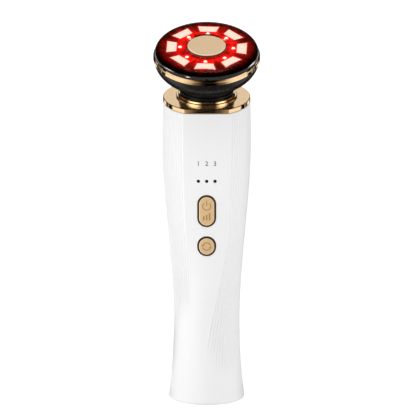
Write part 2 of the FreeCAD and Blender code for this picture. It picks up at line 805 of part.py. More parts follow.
def frame_top():
    """Top flange, screw bosses and motor ring, along the collar's axis."""
    pieces = [
        rod(FRAME_TOP_RADIUS, FRAME_TOP_LOW, FRAME_TOP_HIGH),
        rod(MOTOR_RING_BORE + MOTOR_RING_WALL, SLEEVE_BOTTOM, SLEEVE_TOP),
    ]
    for x, y in COLLAR_SCREW_PLACES:
        pieces.append(rod(FRAME_BOSS_RADIUS, FRAME_TOP_LOW, 0, x, y))
    return placed(joined(pieces), COLLAR_FRAME)


def frame_top_cuts():
    cuts = [
        rod(WEIGHT_RADIUS + WEIGHT_CLEARANCE, SLEEVE_TOP, 0),
        rod(MOTOR_RING_BORE, MOTOR_BOTTOM - CUT_MARGIN, SLEEVE_TOP),
    ]
    for x, y in COLLAR_SCREW_PLACES:
        cuts.append(rod(COLLAR_SCREW[0] + SCREW_CLEARANCE, FRAME_TOP_LOW - CUT_MARGIN, CUT_MARGIN, x, y))
    return placed(Part.makeCompound(cuts), COLLAR_FRAME)


def make_inner_frame():
    half = SPINE_WIDTH / 2
    flange_high = SPINE_BOTTOM + FRAME_FLANGE_THICKNESS
    flange = rod(FRAME_FLANGE_RADIUS, SPINE_BOTTOM, flange_high)
    flange = flange.cut(block(-FAR, FAR, -FAR, BOARD_BACK, 0, FAR))
    shelf_high = BATTERY_BOTTOM - BATTERY_GAP
    shelf_low = shelf_high - SPINE_THICKNESS
    pieces = [
        block(-half, half, BOARD_BACK, SPINE_BACK, SPINE_BOTTOM, SPINE_TOP),
        flange,
        battery_cradle(BATTERY_BOTTOM + CRADLE_INSET),
        battery_cradle(BATTERY_TOP - CRADLE_INSET - CRADLE_HEIGHT),
        block(-BATTERY_RADIUS, BATTERY_RADIUS, BOARD_BACK, BATTERY_Y, shelf_low, shelf_high),
        frame_top(),
    ]
    for x, y in BASE_SCREW_PLACES:
        pieces.append(rod(BASE_BOSS_RADIUS, BASE_FLOOR, flange_high, x, y))
    cuts = [
        rod(BATTERY_RADIUS + BATTERY_GAP, shelf_high, BATTERY_TOP + CRADLE_INSET, 0, BATTERY_Y),
        frame_top_cuts(),
        block(-FAR, FAR, -FAR, BOARD_BACK, BOARD_BOTTOM, BOARD_TOP + FRAME_FLANGE_THICKNESS),
        head_lead_passage(),
    ]
    for x, y in BASE_SCREW_PLACES:
        cuts.append(rod(BASE_SCREW[0] + SCREW_CLEARANCE, 0, flange_high + CUT_MARGIN, x, y))
    for x, z in board_screw_places():
        cuts.append(across(BOARD_SCREW[0] + SCREW_CLEARANCE, -FAR, FAR, x, z))
    return joined(pieces).cut(cuts)


# Collar, neck ring, damper and neck nut

def make_collar():
    plate = d_plate(COLLAR_RADIUS, COLLAR_FLAT, 0, COLLAR_THICKNESS)
    rims = []
    for edge in plate.Edges:
        if edge.BoundBox.ZLength < 0.001:
            rims.append(edge)
    plate = plate.makeChamfer(COLLAR_CHAMFER, rims)
    spigot = d_plate(COLLAR_SPIGOT_RADIUS, COLLAR_SPIGOT_FLAT, -COLLAR_SPIGOT_DEPTH, 0)
    spigot = spigot.cut(d_plate(
        COLLAR_SPIGOT_RADIUS - COLLAR_SPIGOT_WALL,
        COLLAR_SPIGOT_FLAT - COLLAR_SPIGOT_WALL,
        -COLLAR_SPIGOT_DEPTH - CUT_MARGIN,
        0,
    ))
    register = rod(COLLAR_REGISTER_RADIUS, COLLAR_THICKNESS, COLLAR_THICKNESS + COLLAR_REGISTER_HEIGHT)
    cuts = [rod(STUB_RADIUS + STUB_CLEARANCE, -COLLAR_SPIGOT_DEPTH, NECK_RING_TOP)]
    for x, y in COLLAR_SCREW_PLACES:
        cuts.append(rod(COLLAR_SCREW[0] + SCREW_CLEARANCE, -CUT_MARGIN, NECK_RING_TOP, x, y))
    return placed(joined([plate, spigot, register]).cut(cuts), COLLAR_FRAME)


def make_collar_screws():
    shank, head, head_height = COLLAR_SCREW
    seat = COLLAR_THICKNESS + COLLAR_REGISTER_HEIGHT
    screws = []
    for x, y in COLLAR_SCREW_PLACES:
        shape = rod(head, seat, seat + head_height, x, y)
        screws.append(shape.fuse(rod(shank, FRAME_TOP_LOW, seat, x, y)).removeSplitter())
    return placed(Part.makeCompound(screws), COLLAR_FRAME)


def make_neck_ring():
    bore = COLLAR_REGISTER_RADIUS + REGISTER_CLEARANCE
    points = [(bore, COLLAR_THICKNESS)]
    height = COLLAR_THICKNESS
    for radius, rise in NECK_RING_STEPS:
        points.append((radius, height))
        points.append((radius, height + rise - NECK_RING_EDGE))
        points.append((radius - NECK_RING_EDGE, height + rise))
        height += rise
    points.append((bore, height))
    return placed(ring_from(points), COLLAR_FRAME)


def neck_frame(share):
    """Frame part of the way up the damper, tilted between the collar's and the head's angle."""
    centre = DAMPER_START + (DAMPER_END - DAMPER_START) * share
    return tilted(centre, COLLAR_TILT + (HEAD_TILT - COLLAR_TILT) * share)


def neck_wedge(radius):
    """Round wedge between the collar's plane and the head's plane."""
    core = placed(rod(radius, -2 * DAMPER_HEIGHT, 2 * DAMPER_HEIGHT), neck_frame(0.5))
    below = placed(block(-FAR, FAR, -FAR, FAR, -FAR, 0), neck_frame(0))
    above = placed(block(-FAR, FAR, -FAR, FAR, 0, FAR), neck_frame(1))
    return core.cut([below, above])


def damper_rib():
    """Ring with a half-round edge."""
    half = DAMPER_RIB_THICKNESS / 2
    edge = DAMPER_RADIUS + DAMPER_RIB - half
    inner = (DAMPER_RADIUS + DAMPER_BORE) / 2
    corners = [
        in_profile(edge, half),
        in_profile(inner, half),
        in_profile(inner, -half),
        in_profile(edge, -half),
    ]
    edges = [Part.makeLine(start, end) for start, end in zip(corners, corners[1:])]
    edges.append(Part.Arc(corners[3], in_profile(edge + half, 0), corners[0]).toShape())
    return ring_from_edges(edges)


def make_neck_damper():
    pieces = [neck_wedge(DAMPER_RADIUS)]
    for share in DAMPER_RIB_SHARES:
        pieces.append(placed(damper_rib(), neck_frame(share)))
    return joined(pieces).cut(neck_wedge(DAMPER_BORE))


def make_neck_nut():
    nut = hexagon(NECK_NUT_FLATS, -NECK_NUT_THICKNESS, 0)
    nut = nut.cut(rod(STUB_RADIUS + STUB_CLEARANCE / 2, -NECK_NUT_THICKNESS - CUT_MARGIN, CUT_MARGIN))
    return placed(nut, COLLAR_FRAME)


# Vibration motor

def make_motor():
    can = rod(MOTOR_RADIUS, MOTOR_BOTTOM, MOTOR_TOP)
    well = rod(SHAFT_RADIUS + SHAFT_CLEARANCE, MOTOR_TOP - SHAFT_DEPTH, MOTOR_TOP + CUT_MARGIN)
    return placed(can.cut(well), COLLAR_FRAME)


def make_motor_sleeve():
    return placed(tube(SLEEVE_RADIUS, MOTOR_RADIUS + MOTOR_FIT, SLEEVE_BOTTOM, SLEEVE_TOP), COLLAR_FRAME)


WEIGHT_LOW = MOTOR_TOP + WEIGHT_GAP
WEIGHT_HIGH = WEIGHT_LOW + WEIGHT_THICKNESS


def make_motor_shaft():
    low = MOTOR_TOP - SHAFT_DEPTH + SHAFT_CLEARANCE
    return placed(rod(SHAFT_RADIUS, low, WEIGHT_HIGH), COLLAR_FRAME)


def make_eccentric_weight():
    half = rod(WEIGHT_RADIUS, WEIGHT_LOW, WEIGHT_HIGH)
    half = half.cut(block(-FAR, FAR, 0, FAR, WEIGHT_LOW - CUT_MARGIN, WEIGHT_HIGH + CUT_MARGIN))
    hub = rod(WEIGHT_HUB_RADIUS, WEIGHT_LOW, WEIGHT_HIGH)
    bore = rod(SHAFT_RADIUS + SHAFT_CLEARANCE / 2, WEIGHT_LOW - CUT_MARGIN, WEIGHT_HIGH + CUT_MARGIN)
    return placed(half.fuse(hub).removeSplitter().cut(bore), COLLAR_FRAME)


# Head

BOWL_RIM_RADIUS = HEAD_RADIUS - BOWL_SETBACK
TRIM_INNER_RADIUS = HEAD_RADIUS - TRIM_WIDTH
LENS_RADIUS = HEAD_RADIUS - LENS_SETBACK
LENS_FLAT_RADIUS = LENS_RADIUS - LENS_RISE
ELECTRODE_RADIUS = HEAD_RADIUS * ELECTRODE_SHARE
LIT_BAND = LENS_FLAT_RADIUS - ELECTRODE_RADIUS
LAMP_CIRCLE = ELECTRODE_RADIUS + LIT_BAND * LAMP_SHARE
WINDOW_INNER = ELECTRODE_RADIUS + LIT_BAND * WINDOW_INNER_SHARE
WINDOW_OUTER = ELECTRODE_RADIUS + LIT_BAND * WINDOW_OUTER_SHARE
LAMP_BOARD_RADIUS = TRIM_INNER_RADIUS - LAMP_BOARD_SETBACK
TRIM_TOP = BOWL_HEIGHT + TRIM_HEIGHT
LENS_TOP = TRIM_TOP + LENS_RISE
LENS_INSIDE = LENS_TOP - LENS_WALL
TRAY_TOP = LENS_INSIDE - TRAY_GAP
TRAY_BOTTOM = TRAY_TOP - TRAY_WALL
LAMP_BOARD_TOP = TRAY_BOTTOM - LAMP_BOARD_DROP
LAMP_BOARD_BOTTOM = LAMP_BOARD_TOP - LAMP_BOARD_THICKNESS
HEAD_SCREW_CIRCLE = (hexagon_corner(ELECTRODE_NUT_FLATS) + LAMP_CIRCLE - LAMP_RADIUS) / 2
HEAD_SCREW_PLACES = on_circle(HEAD_SCREW_CIRCLE, NECK_SCREW_COUNT, NECK_SCREW_START)
LENS_EYE_RADIUS = ELECTRODE_RADIUS + ELECTRODE_GAP


def bowl_point(share, inset):
    """Point on the bowl's curve, from its rim at 0 to its floor at 1."""
    floor_angle = math.asin(BOWL_HEIGHT / BOWL_DEPTH)
    angle = floor_angle * share
    radius = (BOWL_RIM_RADIUS - inset) * math.cos(angle)
    return in_profile(radius, BOWL_HEIGHT - (BOWL_DEPTH - inset) * math.sin(angle))


def bowl_curve(inset):
    curve = Part.BSplineCurve()
    curve.interpolate([bowl_point(index / BOWL_STEPS, inset) for index in range(BOWL_STEPS + 1)])
    return curve.toShape()


def bowl_solid(inset):
    rim = bowl_point(0, inset)
    floor = bowl_point(1, inset)
    edges = [
        bowl_curve(inset),
        Part.makeLine(floor, in_profile(0, floor.z)),
        Part.makeLine(in_profile(0, floor.z), in_profile(0, rim.z)),
        Part.makeLine(in_profile(0, rim.z), rim),
    ]
    return ring_from_edges(edges)


def make_head_bowl():
    bowl = bowl_solid(0).cut(bowl_solid(BOWL_WALL))
    bowl = placed(bowl, HEAD_FRAME)
    stub_top = NECK_RING_TOP + DAMPER_HEIGHT + BOWL_WALL / 2
    stub = placed(rod(STUB_RADIUS, -STUB_LENGTH, stub_top), COLLAR_FRAME)
    bore = placed(rod(STUB_BORE, -STUB_LENGTH - CUT_MARGIN, stub_top + BOWL_WALL * 2), COLLAR_FRAME)
    holes = [bore]
    for x, y in HEAD_SCREW_PLACES:
        hole = rod(HEAD_SCREW[0] + SCREW_CLEARANCE, -CUT_MARGIN, BOWL_WALL * 2, x, y)
        holes.append(placed(hole, HEAD_FRAME))
    return bowl.fuse(stub).removeSplitter().cut(holes)


def make_head_screws():
    shank, head, head_height = HEAD_SCREW
    screws = []
    for x, y in HEAD_SCREW_PLACES:
        shape = rod(head, -head_height, 0, x, y)
        screws.append(shape.fuse(rod(shank, 0, LAMP_BOARD_BOTTOM, x, y)).removeSplitter())
    return placed(Part.makeCompound(screws), HEAD_FRAME)


def make_trim_ring():
    inner = TRIM_INNER_RADIUS
    shoulder = TRIM_TOP - TRIM_LIP_HEIGHT
    lip = HEAD_RADIUS - TRIM_LIP_INSET
    return placed(ring_from([
        (inner, BOWL_HEIGHT),
        (HEAD_RADIUS - TRIM_EDGE, BOWL_HEIGHT),
        (HEAD_RADIUS, BOWL_HEIGHT + TRIM_EDGE),
        (HEAD_RADIUS, shoulder - TRIM_EDGE),
        (HEAD_RADIUS - TRIM_EDGE, shoulder),
        (lip, shoulder),
        (lip, TRIM_TOP),
        (inner, TRIM_TOP),
    ]), HEAD_FRAME)


def quarter_round(radius, rise, drop):
    """Quarter turn at the lens's edge, inset from the lens by the drop."""
    bend = rise - drop
    middle = math.sqrt(0.5)
    centre = radius - rise
    return Part.Arc(
        in_profile(centre, TRIM_TOP + bend),
        in_profile(centre + bend * middle, TRIM_TOP + bend * middle),
        in_profile(centre + bend, TRIM_TOP),
    ).toShape()


def make_lens_dome():
    low = TRAY_TOP + TRAY_LIP_GAP
    eye = LENS_EYE_RADIUS
    lip = eye + LENS_EYE_BEVEL
    corners = [
        in_profile(LENS_RADIUS - LENS_WALL, TRIM_TOP),
        in_profile(LENS_RADIUS, TRIM_TOP),
        in_profile(LENS_FLAT_RADIUS, LENS_TOP),
        in_profile(lip, LENS_TOP),
        in_profile(eye, LENS_TOP - LENS_EYE_DEPTH),
        in_profile(eye, low),
        in_profile(lip, low),
        in_profile(lip, LENS_INSIDE),
        in_profile(LENS_FLAT_RADIUS, LENS_INSIDE),
    ]
    edges = [Part.makeLine(corners[0], corners[1]), quarter_round(LENS_RADIUS, LENS_RISE, 0)]
    for start, end in zip(corners[2:], corners[3:]):
        edges.append(Part.makeLine(start, end))
    edges.append(quarter_round(LENS_RADIUS, LENS_RISE, LENS_WALL))
    return placed(ring_from_edges(Part.__sortEdges__(edges)), HEAD_FRAME)


def window_prism(grow, low, high):
    """Four-sided window, pointing along +X before it is turned to its place."""
    inner = WINDOW_INNER - grow
    outer = WINDOW_OUTER + grow
    spread = math.tan(math.radians(WINDOW_HALF_ANGLE))
    inner_half = WINDOW_INNER * spread + grow
    outer_half = WINDOW_OUTER * spread + grow
    corners = [
        Vector(inner, -inner_half, low),
        Vector(outer, -outer_half, low),
        Vector(outer, outer_half, low),
        Vector(inner, inner_half, low),
    ]
    outline = Part.makePolygon(corners + corners[:1])
    return Part.Face(outline).extrude(Vector(0, 0, high - low))


def turned_round(shape, offset):
    """Copies of a shape round the head, one for each lamp."""
    copies = []
    for index in range(LAMP_COUNT):
        copy = shape.copy()
        copy.rotate(Vector(), UP, LAMP_TURN + offset + 360.0 * index / LAMP_COUNT)
        copies.append(copy)
    return copies


def make_light_windows():
    window = window_prism(0, LAMP_BOARD_TOP, TRAY_TOP)
    return placed(Part.makeCompound(turned_round(window, 0)), HEAD_FRAME)


def make_lamp_emitters():
    shoulder = TRAY_TOP - LAMP_RADIUS / 2
    body = rod(LAMP_RADIUS, LAMP_BOARD_TOP, shoulder, LAMP_CIRCLE)
    dome = Part.makeSphere(LAMP_RADIUS, Vector(LAMP_CIRCLE, 0, shoulder))
    dome = dome.cut(block(-FAR, FAR, -FAR, FAR, -FAR, shoulder))
    flat = block(-FAR, FAR, -FAR, FAR, TRAY_TOP + TRAY_GAP / 2, FAR)
    lamp = body.fuse(dome).removeSplitter().cut(flat)
    return placed(Part.makeCompound(turned_round(lamp, 0)), HEAD_FRAME)


def make_reflector_tray():
    outer_drop = LENS_WALL + TRAY_GAP
    inner_drop = outer_drop + TRAY_WALL
    stem_hole = ELECTRODE_STEM_RADIUS + STEM_CLEARANCE
    corners = [
        in_profile(LENS_FLAT_RADIUS, TRAY_TOP),
        in_profile(stem_hole, TRAY_TOP),
        in_profile(stem_hole, LAMP_BOARD_TOP),
        in_profile(stem_hole + TRAY_WALL, LAMP_BOARD_TOP),
        in_profile(stem_hole + TRAY_WALL, TRAY_BOTTOM),
        in_profile(LENS_FLAT_RADIUS, TRAY_BOTTOM),
    ]
    edges = [Part.makeLine(start, end) for start, end in zip(corners, corners[1:])]
    edges.append(quarter_round(LENS_RADIUS, LENS_RISE, outer_drop))
    edges.append(quarter_round(LENS_RADIUS, LENS_RISE, inner_drop))
    edges.append(Part.makeLine(
        in_profile(LENS_RADIUS - outer_drop, TRIM_TOP),
        in_profile(LENS_RADIUS - inner_drop, TRIM_TOP),
    ))
    tray = ring_from_edges(Part.__sortEdges__(edges))
    floor = bowl_point(1, BOWL_WALL).z
    posts = [rod(HEAD_POST_RADIUS, floor, TRAY_BOTTOM, x, y) for x, y in HEAD_SCREW_PLACES]
    low = TRAY_BOTTOM - CUT_MARGIN
    high = TRAY_TOP + CUT_MARGIN
    cuts = turned_round(window_prism(WINDOW_CLEARANCE, low, high), 0)
    cuts += turned_round(rod(LAMP_RADIUS + LAMP_CLEARANCE, low, high, LAMP_CIRCLE), 0)
    for x, y in HEAD_SCREW_PLACES:
        cuts.append(rod(HEAD_SCREW[0] + SCREW_CLEARANCE, 0, LAMP_BOARD_BOTTOM + SCREW_CLEARANCE, x, y))
    return placed(joined([tray] + posts).cut(cuts), HEAD_FRAME)


def make_lamp_board():
    board = tube(LAMP_BOARD_RADIUS, ELECTRODE_STEM_RADIUS + STEM_CLEARANCE, LAMP_BOARD_BOTTOM, LAMP_BOARD_TOP)
    cuts = []
    for x, y in HEAD_SCREW_PLACES:
        cuts.append(rod(HEAD_POST_RADIUS + STEM_CLEARANCE, 0, LENS_TOP, x, y))
    return placed(board.cut(cuts), HEAD_FRAME)


def make_center_electrode():
    top = LENS_TOP + ELECTRODE_PROUD
    return placed(ring_from([
        (0, TRAY_TOP - ELECTRODE_STEM_LENGTH),
        (ELECTRODE_STEM_RADIUS, TRAY_TOP - ELECTRODE_STEM_LENGTH),
        (ELECTRODE_STEM_RADIUS, TRAY_TOP),
        (ELECTRODE_RADIUS, TRAY_TOP),
        (ELECTRODE_RADIUS, top - ELECTRODE_EDGE),
        (ELECTRODE_RADIUS - ELECTRODE_EDGE, top),
        (0, top),
    ]), HEAD_FRAME)


def make_electrode_nut():
    nut = hexagon(ELECTRODE_NUT_FLATS, LAMP_BOARD_BOTTOM - ELECTRODE_NUT_THICKNESS, LAMP_BOARD_BOTTOM)
    bore = rod(ELECTRODE_STEM_RADIUS + STEM_CLEARANCE / 2, 0, LAMP_BOARD_TOP)
    return placed(nut.cut(bore), HEAD_FRAME)


# Leads inside the handle and head

LEAD_FRONT = BOARD_FRONT - LEAD_RADIUS


def rounded_route(points):
    """Wire through the points, with an arc in place of every corner."""
    edges = []
    start = points[0]
    for before, corner, after in zip(points, points[1:], points[2:]):
        back = (before - corner).normalize()
        onward = (after - corner).normalize()
        half = back.getAngle(onward) / 2
        radius = LEAD_BEND_LENGTH * math.tan(half)
        to_middle = LEAD_BEND_LENGTH / math.cos(half) - radius
        first = corner + back * LEAD_BEND_LENGTH
        last = corner + onward * LEAD_BEND_LENGTH
        middle = corner + (back + onward).normalize() * to_middle
        edges.append(Part.makeLine(start, first))
        edges.append(Part.Arc(first, middle, last).toShape())
        start = last
    edges.append(Part.makeLine(start, points[-1]))
    return Part.Wire(edges)


def lead(points):
    """Round wire along a route with rounded corners."""
    section = Part.Wire(Part.makeCircle(LEAD_RADIUS, points[0], points[1] - points[0]))
    return rounded_route(points).makePipe(Part.Face(section))


def make_head_lead():
    collar = COLLAR_FRAME.multVec
    head = HEAD_FRAME.multVec
    return lead([
        Vector(LEAD_X, LEAD_FRONT, BOARD_TOP - LEAD_JOINT_LENGTH),
        Vector(LEAD_X, LEAD_FRONT, BOARD_TOP + LEAD_RUN_ON),
        collar(Vector(LEAD_X, LEAD_PASSAGE_Y, FRAME_TOP_LOW - LEAD_RUN_ON)),
        collar(Vector(LEAD_X, LEAD_PASSAGE_Y, FRAME_TOP_HIGH + LEAD_TURN_GAP)),
        collar(Vector(0, 0, -STUB_LENGTH - LEAD_TURN_GAP)),
        head(Vector(0, 0, BOWL_WALL + HEAD_LEAD_LOW)),
        head(Vector(HEAD_LEAD_X, HEAD_LEAD_Y, BOWL_WALL + HEAD_LEAD_HIGH)),
        head(Vector(HEAD_LEAD_X, HEAD_LEAD_Y, LAMP_BOARD_BOTTOM)),
    ])


def head_lead_passage():
    """Notch through the frame's top flange for the lead."""
    low = FRAME_TOP_LOW - LEAD_RUN_ON
    high = FRAME_TOP_HIGH + LEAD_RUN_ON
    return placed(rod(LEAD_PASSAGE_RADIUS, low, high, LEAD_X, LEAD_PASSAGE_Y), COLLAR_FRAME)


def battery_lead(side, back, start, way):
    """Lead from one end of the battery, round the spine's side, to the board's face."""
    x = side * BATTERY_LEAD_X
    clear_x = side * (SPINE_WIDTH / 2 + BATTERY_LEAD_SIDE)
    turn = start + way * BATTERY_LEAD_RISE
    across = turn + way * BATTERY_LEAD_CLIMB
    top = across + LEAD_RUN_ON
    return lead([
        Vector(x, back, start),
        Vector(x, back, turn),
        Vector(clear_x, SPINE_BACK, across),
        Vector(clear_x, LEAD_FRONT, top),
        Vector(side * LEAD_X, LEAD_FRONT, top),
    ])


def make_battery_leads():
    upper = battery_lead(1, BATTERY_Y, BATTERY_TOP, 1)
    lower = battery_lead(-1, BATTERY_Y + BATTERY_LEAD_Y, BATTERY_BOTTOM, -1)
    return Part.makeCompound([upper, lower])


# Write every piece

FRONT_SHELL, REAR_SHELL = make_shells()

PIECES = {
    "front_shell": FRONT_SHELL,
    "rear_shell": REAR_SHELL,
    "base_cap": make_base_cap(),
    "base_screws": make_base_screws(),
    "socket_shell": make_socket_shell(),
    "socket_tongue": make_socket_tongue(),
    "inner_frame": make_inner_frame(),
    "main_board": make_main_board(),
    "board_screws": make_board_screws(),
    "controller_chip": board_piece(CHIP_SIZE, CHIP_THICKNESS, CHIP_SIZE, CHIP_HEIGHT),
    "boost_coil": board_piece(COIL_SIZE, COIL_THICKNESS, COIL_SIZE, COIL_HEIGHT),
    "battery": make_battery(),
    "battery_leads": make_battery_leads(),
    "power_button": POWER.cap(),
    "power_bezel": POWER.bezel(),
    "power_switch": POWER.switch(),
    "power_switch_stem": POWER.stem(),
    "mode_button": MODE.cap(),
    "mode_bezel": MODE.bezel(),
    "mode_switch": MODE.switch(),
    "mode_switch_stem": MODE.stem(),
    "indicator_lights": make_indicator_lights(),
    "indicator_lamps": make_indicator_lamps(),
    "collar": make_collar(),
    "collar_screws": make_collar_screws(),
    "neck_ring": make_neck_ring(),
    "neck_damper": make_neck_damper(),
    "neck_nut": make_neck_nut(),
    "vibration_motor": make_motor(),
    "motor_sleeve": make_motor_sleeve(),
    "motor_shaft": make_motor_shaft(),
    "eccentric_weight": make_eccentric_weight(),
    "head_bowl": make_head_bowl(),
    "head_screws": make_head_screws(),
    "trim_ring": make_trim_ring(),
    "lens_dome": make_lens_dome(),
    "reflector_tray": make_reflector_tray(),
    "light_windows": make_light_windows(),
    "lamp_emitters": make_lamp_emitters(),
    "lamp_board": make_lamp_board(),
    "center_electrode": make_center_electrode(),
    "electrode_nut": make_electrode_nut(),
    "head_lead": make_head_lead(),
}

for name, shape in PIECES.items():
    shape.exportStep("parts/" + name + ".step")
    print(name, len(shape.Solids), round(shape.Volume, 1), shape.isValid())
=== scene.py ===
import cmath
import math

import bmesh
import bpy
from mathutils import Matrix, Vector


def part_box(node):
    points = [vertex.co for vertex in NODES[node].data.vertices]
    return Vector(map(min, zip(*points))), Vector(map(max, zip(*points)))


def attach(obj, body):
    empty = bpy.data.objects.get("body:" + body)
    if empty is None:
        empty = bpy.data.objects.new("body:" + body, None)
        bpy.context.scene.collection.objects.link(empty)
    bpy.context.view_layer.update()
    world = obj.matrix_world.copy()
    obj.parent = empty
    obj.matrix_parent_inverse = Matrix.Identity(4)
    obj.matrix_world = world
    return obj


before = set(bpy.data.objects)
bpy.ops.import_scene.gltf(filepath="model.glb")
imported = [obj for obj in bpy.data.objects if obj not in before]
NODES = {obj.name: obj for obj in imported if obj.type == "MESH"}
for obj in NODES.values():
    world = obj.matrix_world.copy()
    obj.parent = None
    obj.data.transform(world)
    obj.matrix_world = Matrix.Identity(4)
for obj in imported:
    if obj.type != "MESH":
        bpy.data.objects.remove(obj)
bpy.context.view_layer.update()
MM = 0.001
ACROSS = Vector((1, 0, 0))
FRONT = Vector((0, -1, 0))
UP = Vector((0, 0, 1))

# Flat faces: least cosine with the side that is asked for, and digits that sort their normals
SAME_SIDE = 0.5
NORMAL_DIGITS = 2

# Camera at the photograph's angle, far off and with a long lens
CAMERA_ELEVATION = math.radians(13.0)
CAMERA_DISTANCE = 4.0
CAMERA_LENS = 752.0
CAMERA_SENSOR = 36.0
CAMERA_CLIP = 50.0
CAMERA_AIM = Vector((0.00060, 0.0, 0.08947))

# Floor and sky
AMBIENT = 0.36
FLOOR_SIZE = 14.0
FLOOR_DROP = 0.02 * MM
FLOOR_GLOW = 0.84
FLOOR_TONES = ((0.5, 0.5, 0.5), (0.52, 0.52, 0.52))
FLOOR_CLOUD = 3.0

# Lamps: azimuth (0 is the camera's side, +90 its right) and elevation in degrees, distance, width
# and height in metres, power in watts
SOFT_LAMPS = (
    ("key", -72, 24, 1.35, 0.6, 0.8, 7.4),
    ("fill", 84, 10, 1.3, 0.5, 0.8, 4.0),
    ("top", 0, 80, 1.1, 0.8, 0.6, 5.6),
)

# Lamps that only show as reflections, each in one group of pieces
MIRROR_LAMPS = (
    ("back_panel", 180, 31, 1.2, 0.9, 0.8, 2.35, "neck"),
    ("left_panel", -50, 13, 1.2, 1.6, 0.9, 12.0, "neck"),
    ("right_panel", 60, 13, 1.2, 1.3, 0.9, 9.5, "neck"),
    ("left_strip", -87, -6, 1.2, 0.8, 0.36, 26.0, "head"),
    ("right_strip", 112, -8, 1.2, 0.7, 0.4, 26.0, "head"),
    ("front_strip", -41, -20, 0.4, 0.1, 0.15, 2.0, "head"),
    ("left_bar", -58, 37, 1.2, 2.8, 0.6, 7.0, "trim"),
    ("right_bar", 62, 37, 1.2, 2.6, 0.6, 6.5, "trim"),
    ("left_glow", -112, 20, 1.2, 1.3, 0.8, 2.0, "collar"),
    ("right_glow", 112, 20, 1.2, 1.3, 0.8, 2.0, "collar"),
)

# Shares of a lamp's width: its half, and how far in from its edge it fades
LAMP_HALF = 0.5
LAMP_FEATHER = 0.48

# Slots or nodes of each group, and the tint of a group's lamps where they aren't plain
GROUP_MEMBERS = {
    "neck": ("gold_metal", "black_rubber"),
    "head": ("clear_lens", "black_gloss"),
    "trim": ("trim_ring",),
    "collar": ("collar",),
}
GROUP_TINTS = {"collar": (1.0, 0.75, 0.5)}

# Dark cloth round the studio, that polished surfaces and glass see
ROOM_BROWN = (0.032, 0.0165, 0.007)
ROOM_RADIUS = 6.0
ROOM_STEPS = 48

# Black cards on the floor, that reflections see: colours of their edges, how fast they close in
# from the edge, and how the edge's colour falls off. Then azimuth in degrees, and rows of distance
# from the object, half width of the black and half width with the soft edge, in metres
CARD_LIFT = 1 * MM
CARD_COLUMNS = 4
CARD_GOLD = (1.0, 0.8, 0.55)
CARD_WHITE = (1.0, 1.0, 1.0)
CARD_COVER = 2.0
EVEN_FALL = 1.0
STEEP_FALL = 2.0
FRONT_TURN = 10
FRONT_ROWS = (
    (-0.03, 0.05, 0.13), (-0.01, 0.06, 0.15), (0.07, 0.06, 0.19), (0.14, 0.031, 0.166),
    (0.19, 0.01, 0.1), (0.215, 0.005, 0.05),
)
FACET_TURN = 0
FACET_ROWS = (
    (0.19, 0.006, 0.03), (0.21, 0.006, 0.02), (0.235, 0.006, 0.016), (0.32, 0.006, 0.016),
    (0.38, 0.006, 0.016),
)
BACK_TURN = 180
BACK_ROWS = (
    (0.30, 0.10, 0.22), (0.42, 0.14, 0.26), (0.8, 0.2, 0.4), (1.6, 0.4, 0.7), (3.0, 0.6, 1.0),
)
SIDE_TURN = 117
SIDE_ROWS = ((0.3, 0.04, 0.09), (0.34, 0.045, 0.1), (0.55, 0.07, 0.13), (0.65, 0.07, 0.13))
SHADE_TURN = 148
SHADE_ROWS = (
    (0.04, 0.02, 0.05), (0.1, 0.05, 0.09), (0.3, 0.11, 0.18), (0.5, 0.16, 0.25),
    (0.55, 0.16, 0.25),
)

# Upright dark flag at each side, in metres
FLAG_SIDE = 0.08
FLAG_LENGTH = 0.5
FLAG_HEIGHT = 0.5

# Marks on the buttons and the panel, in millimetres and degrees
UPWARD = 90.0
HALF_TURN = 180.0
FULL_TURN = 360.0
MARK_LINE = 0.42
MARK_RISE = 0.03
ARC_STEP = 7
ARC_LEAST = 2
POWER_SIGN_HEIGHT = 2.45
POWER_SIGN_RADIUS = 1.85
POWER_SIGN_GAP = 38.0
POWER_STEM = (0.2, 2.55)
BAR_FOOT = -4.25
BAR_TOPS = (-2.35, -1.75, -0.85)
BAR_SPACING = 1.32
BAR_WIDTH = 0.66
CYCLE_RADIUS = 1.75
CYCLE_GAP = 18.0
CYCLE_ARROW = (0.42, 0.7)
CYCLE_ARROW_LINE = 0.294
NUMERALS = "123"
NUMERAL_SIZE = 3.0
NUMERAL_RISE = 6.6

# Depth in metres from which the numerals are laid on the panel
BEFORE_PANEL = -1.0

# Bevel of a button's cap, in millimetres out from its flat: start and end of the painted shade on
# its foot, reach of its painted highlight line, whose strength is given at the left and at the
# right
CAP_FLAT = 0.02
CAP_SHADE_FOOT = (0.14, 0.24)
CAP_HIGHLIGHT_REACH = 0.2
CAP_HIGHLIGHT_LEVELS = (1.0, 0.15)

# Disc, in millimetres in from its rim: start and end of its painted highlight on the edge and of
# the painted shade on its side; then its roughness, and the noise of its lathe rings and of its
# clouds
DISC_HIGHLIGHT_BAND = (0.6, 0.4)
DISC_SHADE_BAND = (0.2, 0.1)
DISC_ROUGHNESS = (0.36, 0.5)
LATHE_SCALE = 9.0
LATHE_DETAIL = 4.0
DISC_CLOUD = 160.0

# Collar: how far a face looks up its axis where the satin begins and is full, and the roughness
# and share of metal at the polished edge and on the satin top
COLLAR_FACING = (0.9, 0.99)
COLLAR_ROUGHNESS = (0.06, 0.15)
COLLAR_METAL = (1.0, 0.9)

# Painted shade in the valleys of the pleats: how far they are looked for in millimetres, how open
# they are, and the shade's tone
VALLEY_REACH = 0.9
VALLEY_OPEN = (0.86, 1.0)
VALLEY_PAINTED_SHADE = 0.85

# Bowl: distances from the head's axis where its shine begins and is full, in millimetres
SHINE_RADII = (22.2, 24.2)
SHINE_LEVELS = (0.06, 0.65)

# Lens, in millimetres in from its rim: where the black mask begins and is full, and where the
# painted red glow on it, which stands in for the emitters' light, is full and ends
LENS_MASK = (4.0, 1.6)
LENS_PAINTED_GLOW = (3.8, 0.9)
LENS_PAINTED_GLOW_LEVEL = 0.1
LENS_GRAIN = 300.0
LENS_ROUGHNESS = (0.008, 0.03)
